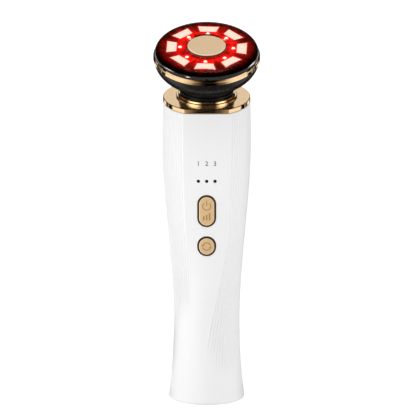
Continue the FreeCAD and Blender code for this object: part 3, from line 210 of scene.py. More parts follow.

# Painted glow of the tray, which stands in for the emitters' light on it, as reach in millimetres
# and
# strength: on the circle of the emitters, round each one, along the windows and over all; where it
# ends, in millimetres in from the lens's rim; then its patches and the roughness that goes with
# them
TRAY_RING = (2.2, 0.65)
TRAY_HALO = (1.9, 1.1)
TRAY_EDGE = (0.5, 0.7)
TRAY_WASH = (7.0, 0.42)
TRAY_RIM = (3.4, 1.8)
PATCH_SCALE = 330.0
PATCH_LEVELS = (0.25, 1.2)
PATCH_SPAN = (0.3, 1.2)
TRAY_ROUGHNESS = (0.3, 0.5)

# Windows: place in from the edge, reach and share of the frame line, then frost and glow
WINDOW_LINE = 0.95
WINDOW_LINE_REACH = 0.16
WINDOW_LINE_SHARE = 0.38
WINDOW_FROST = 0.16
FROST_GRAIN = 420.0
WINDOW_ROUGHNESS = (0.35, 0.55)
WINDOW_GLOW_REACH = 0.5
WINDOW_GLOW = (0.85, 1.05)

# Emitters: reach of the core in millimetres, and where its glow rises from edge to core
EMITTER_CORE = 1.0
EMITTER_RISE = (0.2, 0.9)
EMITTER_GLOW = (1.1, 2.2)
EMITTER_ROUGHNESS = (0.2, 0.35)

# Tracks on the boards, that stand upright
BOARD_TURN = math.radians(90)
TRACK_SCALE = 320.0

# Noise: scales, detail, parts of its range that are drawn out, levels that they become, and depths
# of the grain in metres
CLOUD = 70.0
GOLD_GRAIN = 700.0
PLAIN_GRAIN = 900.0
FINE_GRAIN = 1500.0
SOFT_DETAIL = 2.0
PLAIN_DETAIL = 3.0
WIDE = (0.2, 0.8)
BROAD = (0.25, 0.75)
MIDDLE = (0.3, 0.7)
NARROW = (0.35, 0.65)
UNEVEN = (0.8, 1.2)
STREAK_SCALE = 6.0
STREAK_DRIFT = 0.02
STREAK_LEVELS = (0.3, 1.5)
GOLD_DEPTH = 3e-7
GLOSS_DEPTH = 2e-6
SATIN_DEPTH = 3e-6
PLAIN_DEPTH = 6e-6
ROUGH_DEPTH = 1e-5

# How much darker the clouds of a finish are
GOLD_MOTTLE = 0.03
PLAIN_MOTTLE = 0.06
STRONG_MOTTLE = 0.2

# Colours
BLACK = (0.0, 0.0, 0.0)
WHITE = (0.90, 0.90, 0.90)
GOLD = (0.80, 0.56, 0.31)
NECK_GOLD = (0.93, 0.76, 0.52)
SATIN_GOLD = (0.76, 0.52, 0.265)
# Painted highlight and painted shade on the bevel of a button's cap
CAP_PAINTED_HIGHLIGHT = (0.98, 0.78, 0.50)
CAP_PAINTED_SHADE = (0.09, 0.036, 0.008)
DISC_GOLD = (0.90, 0.65, 0.39)
# Painted highlight on the disc's edge and painted shade on its side
DISC_PAINTED_HIGHLIGHT = (1.0, 0.88, 0.66)
DISC_PAINTED_SHADE = (0.16, 0.10, 0.05)
MARK_GOLD = (0.46, 0.24, 0.08)
PRINT_GREY = (0.05, 0.045, 0.045)
# Brown of the bezels, darkened further as painted shade for the gaps round the buttons
BEZEL_BROWN_AND_GAP_SHADE = (0.055, 0.02, 0.002)
BOWL_BLACK = (0.010, 0.0085, 0.008)
RUBBER_BLACK = (0.005, 0.0045, 0.0045)
SMOKE_BLACK = (0.006, 0.006, 0.0065)
LENS_CLEAR = (1.0, 0.985, 0.98)
LENS_BLACK = (0.004, 0.003, 0.003)
TRAY_DARK = (0.012, 0.0015, 0.0012)
TRAY_LIGHT = (0.03, 0.002, 0.0015)
# Red of the painted glow on the lens and the tray, standing in for the emitters' light
PAINTED_GLOW_RED = (1.0, 0.006, 0.004)
PEACH = (1.0, 0.86, 0.70)
PEACH_LINE = (1.0, 0.62, 0.45)
WINDOW_BODY = (0.12, 0.10, 0.09)
EMITTER_BODY = (0.3, 0.05, 0.04)
EMITTER_RED = (1.0, 0.12, 0.07)
EMITTER_WHITE = (1.0, 0.9, 0.75)
BOARD_GREEN = (0.02, 0.15, 0.065)
BOARD_PALE = (0.025, 0.18, 0.08)
TRACK_GREEN = (0.05, 0.3, 0.13)
FRAME_GREY = (0.3, 0.31, 0.32)
STEEL_GREY = (0.6, 0.6, 0.62)
WEIGHT_GREY = (0.33, 0.33, 0.35)
PART_BLACK = (0.02, 0.02, 0.021)
STEM_BLACK = (0.04, 0.04, 0.042)
CELL_BLUE = (0.06, 0.16, 0.4)
LEAD_RED = (0.4, 0.025, 0.025)
LAMP_IVORY = (0.8, 0.8, 0.74)


# Places read from the CAD frame

def main_normal(node, towards):
    """Direction of the node's largest flat area on the given side."""
    areas = {}
    for face in NODES[node].data.polygons:
        if face.normal.dot(towards) > SAME_SIDE:
            key = tuple(round(part, NORMAL_DIGITS) for part in face.normal)
            areas[key] = areas.get(key, Vector()) + face.normal * face.area
    return max(areas.values(), key=lambda total: total.length).normalized()


def points_of(node):
    return [vertex.co for vertex in NODES[node].data.vertices]


def mean(points):
    return sum(points, Vector()) / len(points)


COLLAR_AXIS = main_normal("collar", UP)
HEAD_AXIS = main_normal("center_electrode", UP)
HEAD_TILT = math.atan2(-HEAD_AXIS.y, HEAD_AXIS.z)
HEAD_CENTRE = mean(points_of("light_windows"))
HEAD_TURN = Matrix.Rotation(-HEAD_TILT, 3, "X")


def head_polar(point):
    """Distance from the head's axis in millimetres, and angle round it."""
    local = HEAD_TURN @ (point - HEAD_CENTRE) / MM
    return math.hypot(local.x, local.y), math.atan2(local.y, local.x)


def widest(node):
    """Largest distance of a node's points from the head's axis."""
    return max(head_polar(point)[0] for point in points_of(node))


EMITTER_COUNT = 8
EMITTER_STEP = math.tau / EMITTER_COUNT
EMITTERS = [head_polar(point) for point in points_of("lamp_emitters")]
EMITTER_CIRCLE = sum(radius for radius, angle in EMITTERS) / len(EMITTERS)
EMITTER_TURN = cmath.phase(
    sum(cmath.exp(1j * EMITTER_COUNT * angle) for radius, angle in EMITTERS)
) / EMITTER_COUNT


def folded(angle):
    """Angle from the nearest emitter's direction."""
    return (angle - EMITTER_TURN + EMITTER_STEP / 2) % EMITTER_STEP - EMITTER_STEP / 2


WINDOWS = [(radius, folded(angle)) for radius, angle in map(head_polar, points_of("light_windows"))]
WINDOW_IN = min(radius * math.cos(angle) for radius, angle in WINDOWS)
WINDOW_OUT = max(radius * math.cos(angle) for radius, angle in WINDOWS)
WINDOW_SPREAD = max(math.tan(abs(angle)) for radius, angle in WINDOWS)
LENS_RADIUS = widest("lens_dome")
DISC_RADIUS = widest("center_electrode")


def button_frame(node):
    """Frame on a button's face in millimetres: X across, Y up the face, Z out of it."""
    out = main_normal(node, FRONT)
    reach = max(point.dot(out) for point in points_of(node))
    face = [point for point in points_of(node) if point.dot(out) > reach - CAP_FLAT * MM]
    low = Vector(map(min, *face))
    high = Vector(map(max, *face))
    turn = Matrix((ACROSS, out.cross(ACROSS), out)).transposed()
    return Matrix.Translation((low + high) / 2) @ turn.to_4x4() @ Matrix.Scale(MM, 4)


# Procedural materials

def darker(colour, share):
    return tuple(part * share for part in colour)


def inside(radius, limits):
    """Two distances from the axis, from two distances in from the rim."""
    return [radius - limit for limit in limits]


class Shader:
    """One procedural material: a Principled surface and the nodes that feed it."""

    def __init__(self, name):
        self.material = bpy.data.materials.new(name)
        self.material.use_nodes = True
        self.tree = self.material.node_tree
        self.surface = self.tree.nodes["Principled BSDF"]
        places = self.node("ShaderNodeTexCoord")
        self.place = places.outputs["Object"]
        self.normal = places.outputs["Normal"]

    def node(self, kind, **settings):
        made = self.tree.nodes.new(kind)
        for key, value in settings.items():
            setattr(made, key, value)
        return made

    def feed(self, socket, value):
        if isinstance(value, bpy.types.NodeSocket):
            self.tree.links.new(value, socket)
        elif socket.type == "RGBA":
            socket.default_value = (*value, 1.0)
        else:
            socket.default_value = value

    def put(self, name, value):
        self.feed(self.surface.inputs[name], value)

    def maths(self, operation, *values):
        made = self.node("ShaderNodeMath", operation=operation)
        for socket, value in zip(made.inputs, values):
            self.feed(socket, value)
        return made.outputs[0]

    def vectors(self, operation, *values):
        made = self.node("ShaderNodeVectorMath", operation=operation)
        for socket, value in zip(made.inputs, values):
            self.feed(socket, value)
        return made

    def noise(self, scale, place=None, detail=PLAIN_DETAIL):
        made = self.node("ShaderNodeTexNoise")
        self.feed(made.inputs["Vector"], place or self.place)
        self.feed(made.inputs["Scale"], scale)
        self.feed(made.inputs["Detail"], detail)
        return made.outputs["Fac"]

    def ranged(self, value, low, high, at_low, at_high):
        made = self.node("ShaderNodeMapRange", interpolation_type="SMOOTHSTEP")
        for socket, part in zip(made.inputs, (value, low, high, at_low, at_high)):
            self.feed(socket, part)
        return made.outputs[0]

    def mixed(self, share, first, second):
        """Colour between two: sockets 6 and 7 are the node's colour inputs, and 2 its output."""
        made = self.node("ShaderNodeMix", data_type="RGBA")
        self.feed(made.inputs[0], share)
        self.feed(made.inputs[6], first)
        self.feed(made.inputs[7], second)
        return made.outputs[2]

    def bump(self, height, depth):
        made = self.node("ShaderNodeBump")
        self.feed(made.inputs["Distance"], depth)
        self.feed(made.inputs["Height"], height)
        self.put("Normal", made.outputs["Normal"])

    def clouded(self, colour, mottle, scale=CLOUD):
        return self.mixed(self.noise(scale), darker(colour, 1 - mottle), colour)

    def local(self, centre, turn):
        """Place in millimetres in a turned frame, turn as Euler angles."""
        mapping = self.node("ShaderNodeMapping", vector_type="TEXTURE")
        self.feed(mapping.inputs["Vector"], self.place)
        self.feed(mapping.inputs["Location"], centre)
        self.feed(mapping.inputs["Rotation"], turn)
        self.feed(mapping.inputs["Scale"], (MM, MM, MM))
        return mapping.outputs[0]

    def parts(self, place):
        made = self.node("ShaderNodeSeparateXYZ")
        self.feed(made.inputs[0], place)
        return made.outputs["X"], made.outputs["Y"]

    def on_head(self):
        """Place on the head in millimetres, with the head's axis as Z."""
        return self.local(HEAD_CENTRE, (HEAD_TILT, 0, 0))

    def head_radius(self):
        return self.hypot(*self.parts(self.on_head()))

    def head_cell(self):
        """Distance from the head's axis, then along and across the nearest emitter's direction."""
        x, y = self.parts(self.on_head())
        radius = self.hypot(x, y)
        angle = self.maths("SUBTRACT", self.maths("ARCTAN2", y, x), EMITTER_TURN)
        turn = self.maths("WRAP", angle, EMITTER_STEP / 2, -EMITTER_STEP / 2)
        along = self.maths("MULTIPLY", radius, self.maths("COSINE", turn))
        across = self.maths("MULTIPLY", radius, self.maths("SINE", turn))
        return radius, along, self.maths("ABSOLUTE", across)

    def streaks(self):
        """Uneven level that runs out from the head's axis as streaks."""
        flat = self.vectors("MULTIPLY", self.on_head(), (1.0, 1.0, 0.0)).outputs[0]
        way = self.vectors("NORMALIZE", flat).outputs[0]
        reach = self.vectors("SCALE", flat)
        self.feed(reach.inputs["Scale"], STREAK_DRIFT)
        place = self.vectors("ADD", way, reach.outputs[0]).outputs[0]
        return self.ranged(self.noise(STREAK_SCALE, place, SOFT_DETAIL), *NARROW, *STREAK_LEVELS)

    def hypot(self, first, second):
        squares = [self.maths("MULTIPLY", value, value) for value in (first, second)]
        return self.maths("SQRT", self.maths("ADD", *squares))

    def fading(self, distance, reach):
        """Falls from 1 to 0 as a bell over the reach."""
        share = self.maths("DIVIDE", distance, reach)
        square = self.maths("MULTIPLY", share, share)
        return self.maths("EXPONENT", self.maths("MULTIPLY", square, -1.0))

    def glow(self, distance, reach, strength):
        return self.maths("MULTIPLY", self.fading(distance, reach), strength)


def grained(name, roughness, metallic=0.0, grain=PLAIN_GRAIN, depth=PLAIN_DEPTH):
    """Surface with a fine grain and uneven gloss, still without its colour."""
    shader = Shader(name)
    fine = shader.noise(grain)
    levels = [roughness * share for share in UNEVEN]
    shader.put("Roughness", shader.ranged(fine, *BROAD, *levels))
    shader.put("Metallic", metallic)
    shader.bump(fine, depth)
    return shader


def moulded(name, colour, roughness, mottle=PLAIN_MOTTLE, **finish):
    """Grained surface with a cloudy tone."""
    shader = grained(name, roughness, **finish)
    shader.put("Base Color", shader.clouded(colour, mottle))
    return shader


def polished(name, colour, roughness):
    return moulded(
        name, colour, roughness, GOLD_MOTTLE, metallic=1.0, grain=GOLD_GRAIN, depth=GOLD_DEPTH,
    )


def white_plastic():
    """Satin white with painted shade that darkens it a little in the valleys of the pleats."""
    shader = grained("white_satin", roughness=0.36, grain=1600.0, depth=4e-6)
    # Ambient occlusion paints shade into the base colour in the valleys of the pleats
    valley = shader.node("ShaderNodeAmbientOcclusion", samples=16)
    shader.feed(valley.inputs["Distance"], VALLEY_REACH * MM)
    shade = shader.ranged(valley.outputs["AO"], *VALLEY_OPEN, 0.0, 1.0)
    shader.put("Base Color", shader.mixed(shade, darker(WHITE, VALLEY_PAINTED_SHADE), WHITE))
    return shader


def black_gloss():
    """Black moulding with a soft shine that dulls towards the neck."""
    shader = moulded(
        "black_gloss_look", BOWL_BLACK, roughness=0.3, mottle=STRONG_MOTTLE,
        grain=500.0, depth=GLOSS_DEPTH,
    )
    shader.put("IOR", 1.3)
    shine = shader.ranged(shader.head_radius(), *SHINE_RADII, *SHINE_LEVELS)
    shader.put("Specular IOR Level", shine)
    return shader


def black_rubber():
    shader = moulded(
        "black_rubber_look", RUBBER_BLACK, roughness=0.22, mottle=STRONG_MOTTLE,
        grain=FINE_GRAIN, depth=SATIN_DEPTH,
    )
    shader.put("IOR", 1.3)
    return shader


def bezel_and_gap_shade():
    """Brown black of the bezels, almost without shine, darkened further as painted shade for the
    gaps round the buttons.
    """
    # The bezels' own dark colour, also painted shade for the gaps round the buttons
    shader = moulded("bezel_gap_shade_look", BEZEL_BROWN_AND_GAP_SHADE, roughness=0.6)
    shader.put("Specular IOR Level", 0.1)
    return shader


def smoke_lens():
    """Dark lens of an indicator light that is off."""
    shader = moulded(
        "smoke_look", SMOKE_BLACK, roughness=0.16, mottle=STRONG_MOTTLE,
        grain=FINE_GRAIN, depth=GLOSS_DEPTH,
    )
    shader.put("Specular IOR Level", 0.15)
    return shader


def cap_gold(name, node):
    """Satin gold of a button's cap, with painted shade on its foot and a painted highlight line on
    its bevel.
    """
    shader = grained(name, roughness=0.42, metallic=0.2, grain=FINE_GRAIN, depth=SATIN_DEPTH)
    face_frame = button_frame(node)
    face = [face_frame.inverted() @ point for point in points_of(node)]
    face = [point for point in face if point.z > -CAP_FLAT]
    radius = max(point.x for point in face)
    straight = max(point.y for point in face) - radius
    x, y = shader.parts(shader.local(face_frame.translation, face_frame.to_euler()))
    past_straight = shader.maths("SUBTRACT", shader.maths("ABSOLUTE", y), straight)
    beyond = shader.maths("MAXIMUM", past_straight, 0.0)
    outward = shader.maths("SUBTRACT", shader.hypot(x, beyond), radius)
    # Painted shade on the cap's foot, and a painted highlight along its bevel that is stronger on
    # the left
    foot = shader.ranged(outward, *CAP_SHADE_FOOT, 0.0, 1.0)
    side = shader.ranged(x, -radius, radius, *CAP_HIGHLIGHT_LEVELS)
    line = shader.glow(outward, CAP_HIGHLIGHT_REACH, side)
    upper = shader.mixed(line, shader.clouded(SATIN_GOLD, GOLD_MOTTLE), CAP_PAINTED_HIGHLIGHT)
    shader.put("Base Color", shader.mixed(foot, upper, CAP_PAINTED_SHADE))
    return shader


def collar_gold():
    """Gold with a satin top and a polished edge."""
    shader = Shader("collar_gold")
    shader.put("Base Color", shader.clouded(GOLD, GOLD_MOTTLE))
    fine = shader.noise(GOLD_GRAIN)
    facing = shader.vectors("DOT_PRODUCT", shader.normal, COLLAR_AXIS).outputs["Value"]
    satin = shader.ranged(facing, *COLLAR_FACING, *COLLAR_ROUGHNESS)
    shader.put("Roughness", shader.maths("MULTIPLY", satin, shader.ranged(fine, *BROAD, *UNEVEN)))
    shader.put("Metallic", shader.ranged(facing, *COLLAR_FACING, *COLLAR_METAL))
    shader.bump(fine, GOLD_DEPTH)
    return shader


def turned_gold():
    """Satin disc with the fine rings that a lathe leaves, a painted highlight on its edge and
    painted shade on its side.
    """
    shader = Shader("electrode_satin")
    radius = shader.head_radius()
    ring_place = shader.node("ShaderNodeCombineXYZ")
    shader.feed(ring_place.inputs["X"], radius)
    rings = shader.noise(LATHE_SCALE, ring_place.outputs[0], LATHE_DETAIL)
    # Painted highlight on the disc's edge and painted shade on its side
    edge = shader.ranged(radius, *inside(DISC_RADIUS, DISC_HIGHLIGHT_BAND), 0.0, 1.0)
    side = shader.ranged(radius, *inside(DISC_RADIUS, DISC_SHADE_BAND), 0.0, 1.0)
    face = shader.mixed(edge, shader.clouded(DISC_GOLD, GOLD_MOTTLE, DISC_CLOUD), DISC_PAINTED_HIGHLIGHT)
    shader.put("Base Color", shader.mixed(side, face, DISC_PAINTED_SHADE))
    shader.put("Roughness", shader.ranged(rings, *WIDE, *DISC_ROUGHNESS))
    shader.put("Metallic", 0.15)
    shader.bump(rings, SATIN_DEPTH)
    return shader


def clear_lens():
    """Clear over the windows, and masked black from behind round its edge, with a painted red glow
    on the mask.
    """
    shader = Shader("clear_lens_look")
    radius = shader.head_radius()
    masked = shader.ranged(radius, *inside(LENS_RADIUS, LENS_MASK), 0.0, 1.0)
    shader.put("Base Color", shader.mixed(masked, LENS_CLEAR, LENS_BLACK))
    shader.put("Transmission Weight", 1.0)
    shader.put("IOR", 1.36)
    shader.put("Roughness", shader.ranged(shader.noise(LENS_GRAIN), *MIDDLE, *LENS_ROUGHNESS))
    # Painted red glow on the mask, standing in for the emitters' light scattered in the lens
    lit = shader.ranged(radius, *inside(LENS_RADIUS, LENS_PAINTED_GLOW), LENS_PAINTED_GLOW_LEVEL, 0.0)
    glow = shader.maths("MULTIPLY", shader.maths("MULTIPLY", lit, masked), shader.streaks())
    shader.put("Emission Color", PAINTED_GLOW_RED)
    shader.put("Emission Strength", glow)
    return shader


def tray_red():
    """Dark red moulding with a painted glow round the emitters, along the windows and between them.
    """
    shader = Shader("tray_painted_glow")
    radius, along, across = shader.head_cell()
    from_circle = shader.maths("SUBTRACT", radius, EMITTER_CIRCLE)
    from_emitter = shader.hypot(shader.maths("SUBTRACT", along, EMITTER_CIRCLE), across)
    inner = shader.maths("SUBTRACT", WINDOW_IN, along)
    outer = shader.maths("SUBTRACT", along, WINDOW_OUT)
    ends = shader.maths("MAXIMUM", shader.maths("MAXIMUM", inner, outer), 0.0)
    side = shader.maths("SUBTRACT", across, shader.maths("MULTIPLY", along, WINDOW_SPREAD))
    from_window = shader.hypot(ends, shader.maths("MAXIMUM", side, 0.0))
    spots = shader.noise(PATCH_SCALE, detail=SOFT_DETAIL)
    patches = shader.ranged(spots, *NARROW, *PATCH_LEVELS)
    # Painted glow, standing in for the emitters' light falling on the tray
    ring = shader.maths("MULTIPLY", shader.glow(from_circle, *TRAY_RING), patches)
    halo = shader.glow(from_emitter, *TRAY_HALO)
    edge = shader.glow(from_window, *TRAY_EDGE)
    wash = shader.maths("MULTIPLY", shader.glow(from_circle, *TRAY_WASH), shader.streaks())
    glow = shader.maths("ADD", shader.maths("ADD", ring, halo), shader.maths("ADD", edge, wash))
    rim = shader.ranged(radius, *inside(LENS_RADIUS, TRAY_RIM), 1.0, 0.0)
    shader.put("Base Color", shader.mixed(patches, TRAY_DARK, TRAY_LIGHT))
    shader.put("Roughness", shader.ranged(patches, *PATCH_SPAN, *TRAY_ROUGHNESS))
    shader.put("Specular IOR Level", 0.1)
    shader.put("Emission Color", PAINTED_GLOW_RED)
    shader.put("Emission Strength", shader.maths("MULTIPLY", glow, rim))
    return shader


def window_glow():
    """Lit frosted window with a thin moulded frame line inside its edge."""
    shader = Shader("window_glow_look")
    along, across = shader.head_cell()[1:]
    inner = shader.maths("SUBTRACT", along, WINDOW_IN)
    outer = shader.maths("SUBTRACT", WINDOW_OUT, along)
    side = shader.maths("SUBTRACT", shader.maths("MULTIPLY", along, WINDOW_SPREAD), across)
    edge = shader.maths("MINIMUM", shader.maths("MINIMUM", inner, outer), side)
    from_line = shader.maths("SUBTRACT", edge, WINDOW_LINE)
    line = shader.glow(from_line, WINDOW_LINE_REACH, WINDOW_LINE_SHARE)
    frost = shader.ranged(shader.noise(FROST_GRAIN), *MIDDLE, 0.0, WINDOW_FROST)
    tint = shader.mixed(shader.maths("ADD", line, frost), PEACH, PEACH_LINE)
    shader.put("Base Color", WINDOW_BODY)
    shader.put("Specular IOR Level", 0.1)
    shader.put("Roughness", shader.ranged(shader.noise(PLAIN_GRAIN), *MIDDLE, *WINDOW_ROUGHNESS))
    shader.put("Emission Color", tint)
    shader.put("Emission Strength", shader.ranged(edge, 0.0, WINDOW_GLOW_REACH, *WINDOW_GLOW))
    return shader


def lamp_red():
    """Lit emitter: white core, red towards its edge."""
    shader = Shader("lamp_look")
    along, across = shader.head_cell()[1:]
    from_middle = shader.hypot(shader.maths("SUBTRACT", along, EMITTER_CIRCLE), across)
    core = shader.fading(from_middle, EMITTER_CORE)
    shader.put("Base Color", EMITTER_BODY)
    shader.put("Roughness", shader.ranged(shader.noise(PLAIN_GRAIN), *MIDDLE, *EMITTER_ROUGHNESS))
    shader.put("Emission Color", shader.mixed(core, EMITTER_RED, EMITTER_WHITE))
    shader.put("Emission Strength", shader.ranged(core, *EMITTER_RISE, *EMITTER_GLOW))
    return shader


def board_green():
    """Solder mask with a faint grid of tracks under it."""
    shader = grained("board_look", roughness=0.4, grain=FINE_GRAIN)
    turned = shader.node("ShaderNodeMapping")
    shader.feed(turned.inputs["Vector"], shader.place)
    shader.feed(turned.inputs["Rotation"], (BOARD_TURN, 0, 0))
    tracks = shader.node("ShaderNodeTexBrick", offset=0.3, squash=0.6)
    shader.feed(tracks.inputs["Vector"], turned.outputs[0])
    shader.feed(tracks.inputs["Scale"], TRACK_SCALE)
    shader.feed(tracks.inputs["Color1"], BOARD_GREEN)
    shader.feed(tracks.inputs["Color2"], BOARD_PALE)
    shader.feed(tracks.inputs["Mortar"], TRACK_GREEN)
    shader.put("Base Color", tracks.outputs["Color"])
    return shader


LOOKS = {
    "white_plastic": white_plastic(),
    "gold_metal": polished("polished_gold", GOLD, roughness=0.06),
    "black_gloss": black_gloss(),
    "black_rubber": black_rubber(),
    "clear_lens": clear_lens(),
    "tray_red": tray_red(),
    "window_glow": window_glow(),
    "lamp_red": lamp_red(),
    "smoke_lens": smoke_lens(),
    "board_green": board_green(),
    "frame_grey": moulded("frame_look", FRAME_GREY, roughness=0.5),
    "steel": moulded(
        "steel_look", STEEL_GREY, roughness=0.28, mottle=0.1,
        metallic=1.0, grain=1400.0, depth=SATIN_DEPTH,
    ),
    "weight_metal": moulded(
        "weight_look", WEIGHT_GREY, roughness=0.45, mottle=STRONG_MOTTLE,
        metallic=1.0, grain=1800.0, depth=ROUGH_DEPTH,
    ),
    "black_part": moulded("black_part_look", PART_BLACK, roughness=0.45),
    "cell_wrap": moulded(
        "cell_look", CELL_BLUE, roughness=0.3, mottle=0.12, grain=260.0, depth=ROUGH_DEPTH,
    ),
    "lead_cover": moulded("lead_look", LEAD_RED, roughness=0.42),
    "switch_stem": moulded("stem_look", STEM_BLACK, roughness=0.4),
    "lamp_white": moulded("lamp_body_look", LAMP_IVORY, roughness=0.35),
}
BEZEL_LOOK = bezel_and_gap_shade()
LOOKS_BY_NODE = {
    "center_electrode": turned_gold(),
    "collar": collar_gold(),
    "neck_ring": polished("neck_gold", NECK_GOLD, roughness=0.07),
    "power_button": cap_gold("power_cap_gold", "power_button"),
    "mode_button": cap_gold("mode_cap_gold", "mode_button"),
    "power_bezel": BEZEL_LOOK,
    "mode_bezel": BEZEL_LOOK,
}
MARK_LOOK = moulded(
    "mark_gold", MARK_GOLD, roughness=0.5, mottle=0.1,
    metallic=0.05, grain=FINE_GRAIN, depth=SATIN_DEPTH,
)
PRINT_LOOK = moulded(
    "grey_print", PRINT_GREY, roughness=0.55, mottle=0.15, grain=FINE_GRAIN, depth=GLOSS_DEPTH,
)

GROUPS = {group: bpy.data.collections.new(group + "_pieces") for group in GROUP_MEMBERS}
for name, node in NODES.items():
    slot_name = node.material_slots[0].material.name
    for group, members in GROUP_MEMBERS.items():
        if name in members or slot_name in members:
            GROUPS[group].objects.link(node)
    look = LOOKS_BY_NODE.get(name) or LOOKS[slot_name]
    node.data.materials.clear()
    node.data.materials.append(look.material)


# Marks on the buttons

def ribbon(mesh, path, width):
    """Flat raised line along a path of (x, y) points."""
    rows = []
    for index, point in enumerate(path):
        before = path[max(index - 1, 0)]
        after = path[min(index + 1, len(path) - 1)]
        way = (after - before).normalized()
        side = Vector((-way.y, way.x)) * width / 2
        corners = [point + side, point - side]
        row = [mesh.verts.new((*corner, 0.0)) for corner in corners]
        row += [mesh.verts.new((*corner, MARK_RISE)) for corner in reversed(corners)]
        rows.append(row)
    for first, second in zip(rows, rows[1:]):
        for index in range(len(first)):
            following = (index + 1) % len(first)
            mesh.faces.new((first[index], first[following], second[following], second[index]))
    mesh.faces.new(rows[0][::-1])
    mesh.faces.new(rows[-1])


def arc(centre, radius, start, end):
    """Points along an arc, in degrees from +X."""
    count = max(ARC_LEAST, round(abs(end - start) / ARC_STEP))
    points = []
    for index in range(count + 1):
        angle = math.radians(start + (end - start) * index / count)
        points.append(centre + Vector((math.cos(angle), math.sin(angle))) * radius)
    return points


def mark(name, node, body, lines):
    """One raised sign on a button, from (path, width) lines."""
    mesh = bmesh.new()
    for path, width in lines:
        ribbon(mesh, path, width)
    bmesh.ops.recalc_face_normals(mesh, faces=mesh.faces)
    mesh.transform(button_frame(node))
    data = bpy.data.meshes.new(name)
    mesh.to_mesh(data)
    mesh.free()
    data.materials.append(MARK_LOOK.material)
    sign = bpy.data.objects.new(name, data)
    bpy.context.scene.collection.objects.link(sign)
    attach(sign, body)


SIGN_MIDDLE = Vector((0, POWER_SIGN_HEIGHT))
SIGN_START = UPWARD + POWER_SIGN_GAP
SIGN_END = UPWARD + FULL_TURN - POWER_SIGN_GAP
SIGN_ARC = arc(SIGN_MIDDLE, POWER_SIGN_RADIUS, SIGN_START, SIGN_END)
SIGN_STEM = [SIGN_MIDDLE + Vector((0, end)) for end in POWER_STEM]
POWER_LINES = [(SIGN_ARC, MARK_LINE), (SIGN_STEM, MARK_LINE)]
mark("power_sign", "power_button", "power_key", POWER_LINES)

BARS = []
for index, top in enumerate(BAR_TOPS):
    x = (index - 1) * BAR_SPACING
    BARS.append(([Vector((x, BAR_FOOT)), Vector((x, top))], BAR_WIDTH))
mark("level_bars", "power_button", "power_key", BARS)

CYCLE_LINES = []
for start, rise in ((0.0, 1), (HALF_TURN, -1)):
    path = arc(Vector((0, 0)), CYCLE_RADIUS, start + CYCLE_GAP, start + HALF_TURN)
    CYCLE_LINES.append((path, MARK_LINE))
    for lean in (-1, 1):
        end = path[-1] + Vector((lean * CYCLE_ARROW[0], rise * CYCLE_ARROW[1]))
        CYCLE_LINES.append(([path[-1], end], CYCLE_ARROW_LINE))
mark("cycle_sign", "mode_button", "mode_key", CYCLE_LINES)


# Plain numerals over the three lights, printed on the panel

def numeral(text, x, z):
    """One numeral laid on the panel, its foot's middle at the given place in metres."""
    font = bpy.data.curves.new("numeral_shape", "FONT")
    font.body = text
    font.size = NUMERAL_SIZE * MM
    font.align_x = "CENTER"
    holder = bpy.data.objects.new("numeral_holder", font)
    bpy.context.scene.collection.objects.link(holder)
    shaped = holder.evaluated_get(bpy.context.evaluated_depsgraph_get())
    data = bpy.data.meshes.new_from_object(shaped)
    bpy.data.objects.remove(holder)
    mesh = bmesh.new()
    mesh.from_mesh(data)
    raised = bmesh.ops.extrude_face_region(mesh, geom=list(mesh.faces))
    for item in raised["geom"]:
        if isinstance(item, bmesh.types.BMVert):
            item.co.z = MARK_RISE * MM
    for vertex in mesh.verts:
        start = Vector((x + vertex.co.x, BEFORE_PANEL, z + vertex.co.y))
        place, normal = NODES["front_shell"].ray_cast(start, -FRONT)[1:3]
        vertex.co = place + normal * vertex.co.z
    bmesh.ops.recalc_face_normals(mesh, faces=mesh.faces)
    mesh.to_mesh(data)
    mesh.free()
    data.materials.append(PRINT_LOOK.material)
    print_piece = bpy.data.objects.new("numeral_" + text, data)
    bpy.context.scene.collection.objects.link(print_piece)
    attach(print_piece, "handle")


LIGHT_LOW, LIGHT_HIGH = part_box("indicator_lights")
LIGHT_RADIUS = (LIGHT_HIGH.z - LIGHT_LOW.z) / 2
FIRST_LIGHT = LIGHT_LOW.x + LIGHT_RADIUS
LIGHT_SPACING = (LIGHT_HIGH.x - LIGHT_LOW.x - 2 * LIGHT_RADIUS) / (len(NUMERALS) - 1)
for index, text in enumerate(NUMERALS):
    numeral(text, FIRST_LIGHT + LIGHT_SPACING * index, LIGHT_HIGH.z + NUMERAL_RISE * MM)


# Floor, cards and flags

def stage_piece(name, data, look, unseen=()):
    """Piece of the studio that the given kinds of ray don't see."""
    data.materials.append(look)
    piece = bpy.data.objects.new(name, data)
    for kind in unseen:
        setattr(piece, "visible_" + kind, False)
    bpy.context.scene.collection.objects.link(piece)
    return piece


def floor_look():
    shader = Shader("floor_white")
    shader.put("Base Color", shader.mixed(shader.noise(FLOOR_CLOUD), *FLOOR_TONES))
    shader.put("Roughness", 0.9)
    shader.put("Specular IOR Level", 0.0)
    shader.put("Emission Color", (1.0, 1.0, 1.0))
    shader.put("Emission Strength", FLOOR_GLOW)
    return shader.material


def floor():
    half = FLOOR_SIZE / 2
    corners = [(-half, -half, 0.0), (half, -half, 0.0), (half, half, 0.0), (-half, half, 0.0)]
    data = bpy.data.meshes.new("floor")
    data.from_pydata(corners, [], [(0, 1, 2, 3)])
    stage_piece("floor", data, floor_look()).location.z = -FLOOR_DROP


